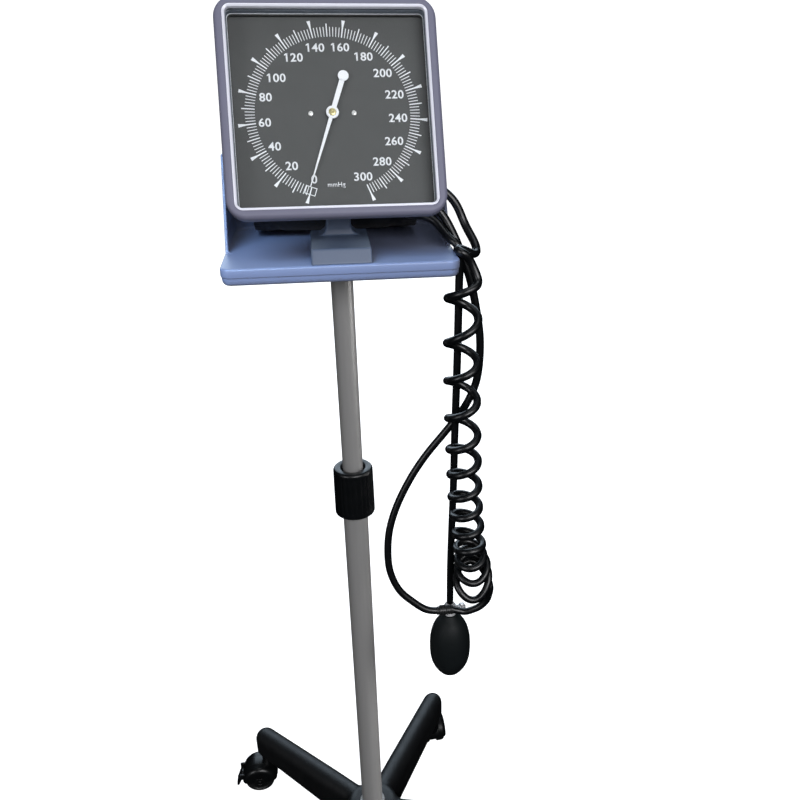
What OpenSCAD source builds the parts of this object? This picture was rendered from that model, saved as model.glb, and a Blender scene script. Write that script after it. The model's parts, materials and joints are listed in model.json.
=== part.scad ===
// Stand-type aneroid blood-pressure gauge on a wheeled five-leg base.
// Millimetres, +Z up, front of the object towards -Y.
// Origin: on the floor, under the column axis.

/* [Base] */
// Distance from the column axis to each caster stem
leg_r = 208; // [180:1:240]
// Direction of the first leg, counted from +X
leg_a0 = 61; // [0:1:71]
// Width of a leg
leg_w = 28; // [24:1:32]
// Height of the flat underside of the legs
leg_z = 64; // [63:1:66]
// Height of the top of the hub
hub_z = 118; // [116:1:122]

/* [Casters] */
// Caster wheel diameter
wheel_d = 40; // [38:1:42]
// Distance from the swivel axis to the wheel axle
trail = 14; // [12:1:16]

/* [Column] */
// Outside diameter of the lower tube
low_d = 25; // [24:0.5:26]
// Outside diameter of the upper tube
up_d = 20; // [19:0.5:20]
// Height of the underside of the locking collar
collar_z = 548; // [520:1:560]
// Height of the locking collar
collar_h = 51; // [48:1:56]
// Outside diameter of the locking collar at its foot
collar_d = 40; // [38:1:44]

/* [Tray and basket] */
// Width of the tray
tray_w = 194; // [190:1:200]
// Height of the top face of the tray
tray_z = 819.5; // [819:0.5:821]
// Thickness of the tray rim
tray_t = 14.5; // [12:0.5:16]
// Front edge of the tray
tray_y0 = -65; // [-70:1:-60]
// Rear edge of the tray
tray_y1 = 90; // [88:1:110]
// Height of the top edge of the basket walls
wall_z = 893; // [880:1:900]
// Thickness of the basket walls
wall_t = 2.6; // [2:0.1:3]

/* [Gauge] */
// Width and height of the gauge
gauge_w = 170; // [168:1:174]
// Backward lean of the gauge face
gauge_tilt = 26; // [22:1:30]
// Corner radius of the gauge
gauge_r = 16; // [10:1:20]
// Thickness of the bezel
bezel_t = 10; // [9:0.5:12]
// Depth of the dial face behind the front of the bezel
dial_depth = 16; // [15:0.5:17]

/* [Hoses] */
// Outside diameter of the hoses
hose_d = 7.5; // [6:0.5:8]
// Outside diameter of the coiled hose
coil_d = 35; // [32:1:36]
// Diameter of the squeeze bulb
bulb_d = 44; // [40:1:45]

/* [Hidden] */
$fn = 64;

plastic = [0.50,0.54,0.66];
black = [0.07,0.07,0.08];
silver = [0.72,0.72,0.70];
steel = [0.78,0.79,0.80];
brass = [0.80,0.64,0.32];

wr = wheel_d/2;
leg_top_end = 86;      // centre of the round leg top at the caster end
leg_top_hub = 102;     // and at the hub
swivel = [95, 180, 255, 300, 20];   // direction in which each caster trails
low_r = low_d/2; low_ri = low_r - 1.5;
up_r = up_d/2; up_ri = up_r - 1.2;
tube_z0 = 70;          // foot of the lower tube
tube_z1 = 575;         // head of the lower tube
up_z0 = 300;           // foot of the upper tube
up_z1 = 806;           // head of the upper tube
gauge_y = -39.7; gauge_z = 937.2;   // centre of the front of the gauge
axis_y = 0; axis_z = 872;           // tilt axis
ped_h = 12;            // height of the pedestal block
neck_w = 21;           // width of the neck
hr = hose_d/2;
pin_mod = 0.5; pin_teeth = 12; sec_teeth = 120;
pin_r = pin_mod*pin_teeth/2; sec_r = pin_mod*sec_teeth/2;
sec_x = -(pin_r+sec_r);            // sector pivot, left of the pointer axis

// ---------- helpers ----------
module rr2(w, h, r) {               // rounded rectangle, exact arcs
  square([w-2*r, h], center=true);
  square([w, h-2*r], center=true);
  for (x=[-1,1], y=[-1,1]) translate([x*(w/2-r), y*(h/2-r)]) circle(r);
}
module rr(w, h, r, z0, z1) translate([0,0,z0]) linear_extrude(z1-z0) rr2(w, h, r);
module rod(r, z0, z1) translate([0,0,z0]) cylinder(r=r, h=z1-z0);
module tube(ro, ri, z0, z1) difference() { rod(ro, z0, z1); rod(ri, z0-1, z1+1); }
module xrod(r, x0, x1) translate([x0,0,0]) rotate([0,90,0]) cylinder(r=r, h=x1-x0);
module yrod(r, y0, y1) translate([0,y0,0]) rotate([-90,0,0]) cylinder(r=r, h=y1-y0);
module gauge_frame() translate([0,gauge_y,gauge_z]) rotate([90-gauge_tilt,0,0]) children();
module at_leg(k) rotate([0,0,leg_a0+72*k]) translate([leg_r,0,0]) children();

// Round sweep along hand-set points
function unit(v) = v/norm(v);
function tang(q,i) = unit(q[min(i+1,len(q)-1)]-q[max(i-1,0)]);
function side(t, ref) = unit(cross(t, ref));
// reference direction carried along the curve
function carry(q, i, r) = let(t=tang(q,i)) unit(r - t*(r*t));
function refs(q, i=0, r=[0,0.2,1], out=[]) = i>=len(q) ? out :
  let(c=carry(q,i,r)) refs(q, i+1, c, concat(out,[c]));
module sweep(q, r, s, ref=[0,0.2,1]) {
  n = len(q); rf = refs(q,0,ref);
  pts = [for (i=[0:n-1]) let(t=tang(q,i), u=rf[i], v=cross(t,u)) for (k=[0:s-1])
          q[i] + (is_list(r) ? r[i] : r)*(cos(360*k/s)*u + sin(360*k/s)*v)];
  faces = concat([[for (k=[s-1:-1:0]) k]], [[for (k=[0:s-1]) (n-1)*s+k]],
    [for (i=[0:n-2], k=[0:s-1]) [i*s+k, i*s+(k+1)%s, (i+1)*s+(k+1)%s, (i+1)*s+k]]);
  polyhedron(points=pts, faces=[for (f=faces) [for (j=[len(f)-1:-1:0]) f[j]]], convexity=8);
}

// ---------- hose routes (points of the centre lines) ----------
lead_pts = [[64.4,0,872],[74,0,871.5],[84,0,869],[93,-1,863.5],[101,-3.5,856],[105.5,-5,847],[108.5,-6.5,838.5],
  [113,-14,829.3],[116.4,-21,822.8],[117.2,-29,816.8],[114.5,-35,815.4],[108.5,-38.6,818.8],[101.8,-40,823.2],
  [96.6,-42,824.6],[94.2,-47.5,824.2],[96.6,-53,823.8],[101.4,-54.6,823],[106,-51,817],[109.5,-45.5,811],
  [113.5,-44,805],[115,-48,799]];
bulb_pts = [[60,18.8,843],[61,12,843],[66,4,843.5],[74,-1,843.5],[82.5,-5,840.4],[88.8,-12,833.6],
  [93.8,-21,827.4],[98.3,-25.5,825.2],[102,-27,819.5],[102.2,-27,808],[101.6,-27,791],
  [100.9,-27,750],[100,-27,705],[98.4,-27,645],[97.2,-27,585],[95.5,-27,530],[94.3,-27,485],[94,-27,442.2]];
cuff_pts = [[68,18.8,862],[69,12,861.8],[73,5,860],[79,0,856],[86,-3,849.5],[92.3,-5.5,841.8],
  [97.4,-9.5,832],[101.4,-13.5,823],[105.5,-15.5,812],[110.3,-17,799],[114.8,-17.5,783],[119,-18,762],
  [122.8,-18,736],[122.8,-18,710],[119.5,-18,688],[111,-18,668],[101.5,-17,653],[89,-17,637],
  [71,-18,615],[55.5,-20,592],[41.5,-23,565],[32.5,-27,539],[29.5,-31,514],[31,-35,492],[39.5,-39,471],[54,-42,456],
  [66,-44,447],[77.3,-44,444]];
tail_pts = [[131,-49,461],[129,-48.5,455],[122.5,-47.5,447.2],[115.6,-46.5,443],[107.5,-45.5,440.4],[101,-44.6,441.8],[94.8,-44,444]];
// axis of the coil, and how much wider its last turns hang
coil_pts = [[101.9,-50,803],[101.2,-50,770],[101,-50,725],[101.6,-50,687],[103,-50,645],[105,-50,595],[107.5,-50,550],
  [110.5,-50,520],[113.5,-50,492],[114,-50,461]];
coil_wider = [0,0,0,0,0,0,0,0.2,3,4.5];

// ---------- base ----------
module leg(k) rotate([0,0,leg_a0+72*k]) hull() {
  translate([leg_r,0,leg_z]) cylinder(r=leg_w/2, h=leg_top_end-leg_z, $fn=32);
  translate([leg_r,0,leg_top_end]) sphere(r=leg_w/2, $fn=32);
  translate([20,0,leg_z]) cylinder(r=leg_w/2, h=leg_top_hub-leg_z, $fn=32);
  translate([20,0,leg_top_hub]) sphere(r=leg_w/2, $fn=32);
}
module spider_base() color(black) difference() {
  union() {
    for (k=[0:4]) leg(k);
    rotate_extrude() polygon([[0,leg_z-4],[30,leg_z-4],[33,leg_z-1],[33,hub_z-8],[31,hub_z-3],[26,hub_z],[0,hub_z]]);
  }
  rod(low_r+0.05, tube_z0, hub_z+1);
  rod(4.3, leg_z-10, tube_z0+1);
  rod(15, leg_z-10, leg_z-1);
  for (k=[0:4]) {
    at_leg(k) rod(8.05, leg_z-2, leg_z+28);
    // moulded hollow under each leg
    rotate([0,0,leg_a0+72*k]) translate([44,-10,leg_z-2]) cube([146,20,20]);
  }
}
module stem_sockets() color(steel) for (k=[0:4]) at_leg(k) difference() {
  union() { rod(8, leg_z+0.2, leg_z+27.8); rod(9.5, leg_z-0.9, leg_z-0.1); rod(8, leg_z-0.9, leg_z+1); }
  rod(5.55, leg_z-2, leg_z+26);
}
module lower_tube() color(silver) tube(low_r, low_ri, tube_z0, tube_z1);
module tube_seat_ring() color([0.62,0.62,0.66]) difference() {
  rotate_extrude() polygon([[low_r+0.05,hub_z],[15.5,hub_z],[15.5,hub_z+1.4],[14.6,hub_z+2.2],[low_r+0.05,hub_z+2.2]]);
}
// threaded plug pressed in the foot of the tube, with the bolt and washer that pull it into the hub
module hub_bolt() color(steel) {
  rod(low_ri, tube_z0, tube_z0+24);
  rod(4.2, leg_z-3, tube_z0+1);
  tube(12, 4.1, leg_z-2.6, leg_z-1);
  translate([0,0,leg_z-8]) cylinder(r=7.5, h=5.4, $fn=6);
}
module clamp_collet() color([0.16,0.16,0.17]) difference() {
  union() {
    rod(low_ri-0.05, 535, tube_z1+1);
    rotate_extrude() polygon([[up_r+0.05,tube_z1],[low_r,tube_z1],[low_r,tube_z1+5],[11.9,tube_z1+16],[up_r+0.05,tube_z1+16]]);
  }
  rod(up_r+0.05, 530, 600);
  for (a=[0:90:270]) rotate([0,0,a+20]) translate([8,-0.6,tube_z1+4]) cube([8,1.2,20]);
}
module lock_collar() color(black) difference() {
  rotate_extrude() polygon([[low_r+0.1,collar_z],[collar_d/2-0.6,collar_z],[collar_d/2,collar_z+0.8],[collar_d/2-0.1,collar_z+6],
    [collar_d/2-0.5,collar_z+collar_h-2.2],[collar_d/2-2.2,collar_z+collar_h],[12.6,collar_z+collar_h],[up_r+0.8,collar_z+collar_h-3],
    [up_r+0.8,collar_z+collar_h-5.5],[low_r+0.9,collar_z+collar_h-5.5],[low_r+0.9,tube_z1-1],[low_r+0.1,tube_z1-3]]);
  for (a=[0:15:345]) rotate([0,0,a]) translate([collar_d/2+0.6,0,collar_z+5]) cylinder(r=1.1, h=collar_h-11, $fn=16);
}
// ---------- sliding column ----------
module upper_tube() color(silver) tube(up_r, up_ri, up_z0, up_z1);
module tube_end_bush() color([0.16,0.16,0.17]) difference() {
  union() { rod(low_ri-0.06, up_z0-14, up_z0); rod(up_ri, up_z0-6, up_z0+22); }
  rod(5, up_z0-20, up_z0+30);
}
// ---------- tray, basket, pedestal ----------
module column_socket() color([0.16,0.16,0.17]) difference() {
  union() {
    rod(15, up_z1-14, tray_z-6);
    rod(30, tray_z-8.5, tray_z-3.7);
  }
  rod(up_r+0.05, up_z1-20, up_z1+1);
  for (a=[45:90:315]) rotate([0,0,a]) translate([22.5,0,0]) rod(2.3, tray_z-12, tray_z);
}
module tray_screws() color(steel) for (a=[45:90:315]) rotate([0,0,a]) translate([22.5,0,0]) {
  rod(2, tray_z-9, tray_z-0.6);
  rotate_extrude() polygon([[0,tray_z-11],[2.4,tray_z-11],[4,tray_z-9.6],[4,tray_z-8.5],[0,tray_z-8.5]]);
}
tray_d = tray_y1-tray_y0; tray_c = (tray_y0+tray_y1)/2;
module tray_outline(in, r) {        // straight front corners, rounder rear corners
  w = tray_w/2-in; y0 = tray_y0+in; y1 = tray_y1-in; rf = max(r-in,1); rb = max(26-in,1);
  polygon([[-w+rf,y0],[w-rf,y0],[w,y0+rf],[w,y1-rb],[w-rb,y1],[-w+rb,y1],[-w,y1-rb],[-w,y0+rf]]);
  for (x=[-1,1]) { translate([x*(w-rf),y0+rf]) circle(rf); translate([x*(w-rb),y1-rb]) circle(rb); }
}
module cuff_basket() color(plastic) difference() {
  union() {
    translate([0,0,tray_z-tray_t]) linear_extrude(tray_t) tray_outline(0, 9);
    translate([0,0,tray_z-1]) linear_extrude(wall_z-tray_z+1) difference() {
      tray_outline(0.6, 9); tray_outline(0.6+wall_t, 9);
    }
  }
  // hollow underside
  translate([0,0,tray_z-tray_t-1]) linear_extrude(tray_t-2.7) tray_outline(3, 9);
  // open front: the side walls lean back from the tray
  translate([-150,0,0]) rotate([90,0,90]) linear_extrude(300)
    polygon([[-12,tray_z],[55.45,tray_z+100],[-200,tray_z+100],[-200,tray_z]]);
  for (a=[45:90:315]) rotate([0,0,a]) translate([22.5,0,0]) rod(2.05, tray_z-6, tray_z-0.5);
}
module pedestal() color(plastic) difference() {
  union() {
    // block with a sloping front
    translate([-24.5,0,0]) rotate([90,0,90]) linear_extrude(49)
      polygon([[tray_y0+1.5,tray_z],[-57,tray_z+ped_h],[13,tray_z+ped_h],[14,tray_z]]);
    // foot of the neck, concave on both sides
    difference() {
      translate([-18.5,-11,tray_z+ped_h-0.5]) cube([37,22,8.5]);
      for (x=[-1,1]) translate([x*(neck_w/2+8),0,tray_z+ped_h+8]) yrod(8, -12, 12);
    }
    translate([-neck_w/2,-10,tray_z+ped_h-0.5]) cube([neck_w,20,axis_z-tray_z-ped_h+0.5]);
    translate([0,axis_y,axis_z]) xrod(10, -neck_w/2, neck_w/2);
  }
  translate([0,axis_y,axis_z]) xrod(3.05, -20, 20);
}
module tilt_pin() color(steel) translate([0,axis_y,axis_z]) {
  xrod(3, -22, 22);
  for (s=[0,1]) mirror([s,0,0]) xrod(5.5, 19.9, 22.4);
}
module friction_washers() color([0.85,0.85,0.83]) translate([0,axis_y,axis_z]) for (s=[0,1]) mirror([s,0,0]) difference() {
  xrod(8, neck_w/2+0.05, neck_w/2+0.95); xrod(3.1, 5, 20);
}
// ---------- stowed cuff and hoses ----------
cuff_y = 53.4; cuff_zc = tray_z+33.2;
module cuff() color([0.10,0.10,0.11]) translate([0,cuff_y,cuff_zc]) difference() {
  xrod(33, -75, 73);
  xrod(5, 70, 74); xrod(5, -76, -72);
}
module cuff_ports() color(black) {
  translate([60,0,843]) yrod(hr, 19, 26);
  translate([68,0,862]) yrod(hr, 19, 26);
}
module bulb_hose() color(black) sweep(bulb_pts, hr, 8);
module cuff_hose() color(black) sweep(cuff_pts, hr, 8);
module gauge_hose_lead() color(black) sweep(lead_pts, hr, 8);
module gauge_hose_tail() color(black) sweep(tail_pts, hr, 8);
module gauge_hose_coil() color(black) sweep(coil_pts, [for (w=coil_wider) coil_d/2+w], 12);
module luer_plug() color(black) translate([0,-44,444]) { xrod(2.9, 81, 88); xrod(5, 87, 93); xrod(4.4, 93, 94.6); }
module luer_socket() color(black) translate([0,-44,444]) difference() {
  union() { xrod(5.2, 79.5, 86.9); xrod(4.4, 77.5, 79.5); }
  xrod(2.95, 80.5, 88);
}
module valve_body() color(steel) translate([94,-27,0]) difference() {
  union() {
    rotate_extrude() polygon([[0,421],[4,421],[4,424.7],[6.2,424.7],[6.2,436],[5,437.5],[3.6,438.3],[3.6,442],[0,442]]);
    translate([0,0,431.5]) xrod(4.3, 0, 9.4);
  }
  translate([0,0,431.5]) xrod(2.55, 3, 12);
}
module valve_screw() color(steel) translate([94,-27,431.5]) { xrod(2.5, 4, 10.5); xrod(5, 10, 15.6); xrod(3.2, 15.6, 16.8); }
module bulb() color(black) translate([94,-27,0]) difference() {
  rotate_extrude() polygon(concat([[0,341.5]],
    [for (a=[-76:8:72]) [bulb_d/2*cos(a), 382+39.5*sin(a)]], [[6.2,420.4],[6.2,424.6],[0,424.6]]));
  rotate_extrude() polygon(concat([[0,347]],
    [for (a=[-76:8:76]) [(bulb_d/2-2.6)*cos(a), 382+36.6*sin(a)]], [[4.05,418],[4.05,426],[0,426]]));
  rod(3.25, 338, 348);
}
module inlet_valve() color(steel) translate([94,-27,0]) { rod(3.2, 340, 350); rod(4.6, 339.3, 341.4); }

// ---------- gauge ----------
module rear_case() color(plastic) difference() {
  union() {
    gauge_frame() difference() {
      union() { rr(160,160,12,-20.4,-bezel_t-0.1); rr(136,136,12,-46,-20); }
      rr(155,155,8,-dial_depth-1.4,-bezel_t+1);
      rr(131,131,10,-43.4,-dial_depth);
    }
    // lugs that straddle the neck
    for (s=[0,1]) mirror([s,0,0]) {
      translate([0,axis_y,axis_z]) xrod(9, neck_w/2+1, 19.7);
      translate([neck_w/2+1,0,0]) intersection() {
        gauge_frame() translate([0,-50.2,-65]) cube([19.7-neck_w/2-1,18,21.7]);
        translate([-5,-60,820]) cube([40,120,120]);
      }
    }
  }
  translate([0,axis_y,axis_z]) xrod(3.05, -30, 30);
  gauge_frame() translate([50,-41.2,0]) rod(4.6, -48, -40);
  gauge_frame() for (x=[-1,1], y=[-1,1]) translate([x*72.5,y*72.5,0]) rod(3.05, -22, -9);
}
module bezel() color(plastic) gauge_frame() difference() {
  rr(gauge_w,gauge_w,gauge_r,-bezel_t,0);
  rr(153.6,153.6,5,-bezel_t-1,1);
  rr(160,160,8,-2.4,1);
  rr(158,158,7,-bezel_t-1,-4);
}
module chrome_trim() color([0.9,0.9,0.92]) gauge_frame() difference() {
  rr(159.6,159.6,7.8,-2.3,-0.4);
  rr(155.6,155.6,6,-3,1);
}
module lens() color([0.8,0.85,0.88,0.35]) gauge_frame() rr(157.6,157.6,6.8,-6.5,-4.1);
module lens_gasket() color([0.12,0.12,0.13]) gauge_frame() difference() {
  rr(157.6,157.6,6.8,-8.2,-6.6); rr(153,153,5,-9,-6);
}
module dial_plate() color([0.27,0.27,0.26]) gauge_frame() difference() {
  union() {
    rr(154.6,154.6,7.8,-dial_depth-1.3,-dial_depth);
    // pegs that the case screws hold
    for (x=[-1,1], y=[-1,1]) translate([x*72.5,y*72.5,0]) rod(3,-20.2,-dial_depth-0.5);
  }
  for (x=[-1,1], y=[-1,1]) translate([x*72.5,y*72.5,0]) rod(1.7,-21,-dial_depth-0.6);
  rod(2.2,-20,-14);
  for (x=[-1,1]) translate([x*16.9,0,0]) rod(1.3,-20,-14);
}
module dial_screws() color(steel) gauge_frame() for (x=[-1,1]) translate([x*16.9,0,0]) {
  rod(1.25,-20.6,-dial_depth); rod(2,-dial_depth+0.05,-dial_depth+1); }
module movement_frame() color(brass) gauge_frame() difference() {
  union() {
    for (z=[-41.5,-22.6]) translate([sec_x-8,-15,z]) cube([54,30,1.6]);
    for (x=[-1,1], y=[-1,1]) translate([-14+x*24,y*11.5,0]) rod(2.2,-43.3,-21.4);
    for (x=[-1,1]) translate([x*16.9,0,0]) rod(2.8,-22.6,-17.4);
    translate([10,-2.8,-22.6]) cube([9.7,5.6,1.6]);
    translate([-19.7,-2.8,-22.6]) cube([4,5.6,1.6]);
  }
  rod(0.85,-45,-20);
  translate([sec_x,0,0]) rod(1.05,-45,-20);
  for (x=[-1,1]) translate([x*16.9,0,0]) rod(1.3,-24,-16);
}
module capsule() color(brass) gauge_frame() translate([42,-34,0]) {
  rotate_extrude() polygon([[0,-37],[19,-36.4],[21,-35.4],[21,-34.4],[15,-33.4],[15,-32.6],[21,-31.6],[21,-30.6],[19,-29.6],[0,-29]]);
  rod(3,-29.5,-27);
}
module inlet_elbow() color(steel) {
  gauge_frame() translate([50,-41.2,0]) {
    rod(4.5,-64.3,-40); rod(7.5,-49,-46.05);
    rotate_extrude() polygon([[0,-43.3],[6.5,-43.3],[6.5,-41],[4,-40],[4,-37.2],[0,-37.2]]);
  }
  translate([0,axis_y,axis_z]) { xrod(4.5, 50, 56); xrod(2.9, 56, 64); }
  translate([50,axis_y,axis_z]) sphere(r=4.8);
}
module case_screws() color(steel) gauge_frame() for (x=[-1,1], y=[-1,1]) translate([x*72.5,y*72.5,0]) {
  rod(1.65,-20.5,-dial_depth-0.8); rod(4.2,-22.4,-20.45); }
hs_n = 96;
module hairspring() color([0.35,0.45,0.65]) gauge_frame() translate([0,0,-39]) linear_extrude(1.2)
  polygon(concat([for (i=[0:hs_n]) let(a=i*1260/hs_n, r=1.9+6.2*i/hs_n) [r*cos(a), r*sin(a)]],
                 [for (i=[hs_n:-1:0]) let(a=i*1260/hs_n, r=2.3+6.2*i/hs_n) [r*cos(a), r*sin(a)]]));
module sector_gear() color(brass) gauge_frame() translate([sec_x,0,0]) {
  translate([0,0,-31]) linear_extrude(1.6) {
    difference() {
      union() {
        polygon(concat([[0,-3.5]],[for (a=[-39:2:7]) [(sec_r-0.62)*cos(a),(sec_r-0.62)*sin(a)]],[[0,3.5]]));
        circle(4.5);
        rotate(-16) translate([-13,-2]) square([13,4]);
      }
      polygon(concat([for (a=[-32:2:0]) [(sec_r-4)*cos(a),(sec_r-4)*sin(a)]],[for (a=[0:-4:-32]) [12*cos(a),12*sin(a)]]));
    }
    for (i=[-13:2]) rotate(3*i) polygon([[sec_r-0.8,-0.50],[sec_r,-0.33],[sec_r+0.45,-0.17],
      [sec_r+0.45,0.17],[sec_r,0.33],[sec_r-0.8,0.50]]);
  }
  rod(1,-41.4,-20.9);
}
module pinion_arbor() color(steel) gauge_frame() {
  rod(0.8,-41.4,-12.9);
  rod(1.7,-39.3,-36.6);
  translate([0,0,-31.5]) linear_extrude(2.6) {
    circle(pin_r-0.68);
    for (i=[0:11]) rotate(30*i+15) polygon([[pin_r-0.9,-0.42],[pin_r,-0.33],[pin_r+0.45,-0.15],
      [pin_r+0.45,0.15],[pin_r,0.33],[pin_r-0.9,0.42]]);
  }
}
pt_z = -13.6;
module pointer() color([0.93,0.93,0.92]) gauge_frame() rotate([0,0,-19.8]) difference() {
  union() {
    translate([0,0,pt_z]) linear_extrude(0.8) {
      polygon([[-1.5,0],[-0.4,-61.7],[0.4,-61.7],[1.5,0]]);
      translate([-2,0]) square([4,30.3]);
      translate([0,30.3]) circle(4.2);
      circle(5);
    }
    rod(3,-14.4,pt_z+1.6);
  }
  rod(0.82,-16,pt_z+0.9);
}
// ---------- casters ----------
module at_caster(k) at_leg(k) rotate([0,0,swivel[k]-leg_a0-72*k]) children();
module caster(k) color(black) at_caster(k) {
  difference() {
    union() {
      rod(5.5, 56, leg_z+24);
      rod(11, 58.5, leg_z-1.3);
      rod(9, wr+9, 59);
      translate([trail,0,wr]) difference() {
        yrod(wr+4.2, -19.6, 19.6);
        translate([-60,-30,-60]) cube([120,60,62]);
      }
      translate([trail,0,wr]) yrod(8, -4, 4);
      translate([trail-14,-4,wr]) cube([28,8,19]);
    }
    for (s=[0,1]) mirror([0,s,0]) translate([trail,0,wr]) yrod(wr+1.2, 4, 18.2);
    for (s=[0,1]) mirror([0,s,0]) translate([trail,0,wr]) yrod(4, 18.2, 21);
    translate([trail,0,wr]) yrod(3.05, -30, 30);
    // slot for the brake pedal
    if (k==1 || k==3) {
      translate([trail+wr+0.6,-9,wr+1]) cube([9,18,9]);
      translate([trail+pedal_x,0,wr+pedal_z]) yrod(2.05, -12.4, 12.4);
    }
  }
  // ears that carry the brake pedal
  if (k==1 || k==3) for (s=[-1,1]) translate([trail,s*10.6,wr]) difference() {
    translate([wr+2.2,-1.5,1]) cube([6.4,3,9.5]);
    translate([pedal_x,0,pedal_z]) yrod(2.05, -5, 5);
  }
}
module wheels(k) color([0.10,0.10,0.10]) at_caster(k) translate([trail,0,wr]) {
  for (s=[0,1]) mirror([0,s,0]) rotate([-90,0,0]) rotate_extrude()
    polygon([[0,4.3],[7,4.3],[8,5.6],[wr-3,5.6],[wr-1,4.6],[wr,5.6],[wr,14.6],[wr-1.2,16.6],[wr-3,17.8],[wr-4.5,16.6],[7,16],[5.5,17.4],[0,17.4]]);
  yrod(3, -17.4, 17.4);
}
pedal_x = wr+5; pedal_z = 4.5;   // brake pivot, from the wheel centre
module brake_pedal(k) color([0.13,0.13,0.13]) at_caster(k) translate([trail+pedal_x,0,wr+pedal_z]) {
  yrod(2, -12, 12);
  yrod(2.6, -8.8, 8.8);
  rotate([90,0,0]) translate([0,0,-8]) linear_extrude(16)
    polygon([[-1.5,-1.5],[2.5,0],[7.5,-12],[8.6,-16],[5.6,-17],[-0.5,-5]]);
}
module caster_1() caster(0);
module caster_2() caster(1);
module caster_3() caster(2);
module caster_4() caster(3);
module caster_5() caster(4);
module wheels_1() wheels(0);
module wheels_2() wheels(1);
module wheels_3() wheels(2);
module wheels_4() wheels(3);
module wheels_5() wheels(4);
module brake_pedal_2() brake_pedal(1);
module brake_pedal_4() brake_pedal(3);

spider_base();
stem_sockets();
lower_tube();
tube_seat_ring();
hub_bolt();
clamp_collet();
lock_collar();
upper_tube();
tube_end_bush();
column_socket();
tray_screws();
cuff_basket();
pedestal();
tilt_pin();
friction_washers();
cuff();
cuff_ports();
bulb_hose();
cuff_hose();
gauge_hose_lead();
gauge_hose_coil();
gauge_hose_tail();
luer_socket();
luer_plug();
valve_body();
bulb();
inlet_valve();
valve_screw();
rear_case();
bezel();
chrome_trim();
lens();
lens_gasket();
dial_plate();
dial_screws();
movement_frame();
capsule();
inlet_elbow();
case_screws();
hairspring();
sector_gear();
pinion_arbor();
pointer();
caster_1();
caster_2();
caster_3();
caster_4();
caster_5();
wheels_1();
wheels_2();
wheels_3();
wheels_4();
wheels_5();
brake_pedal_2();
brake_pedal_4();
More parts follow.
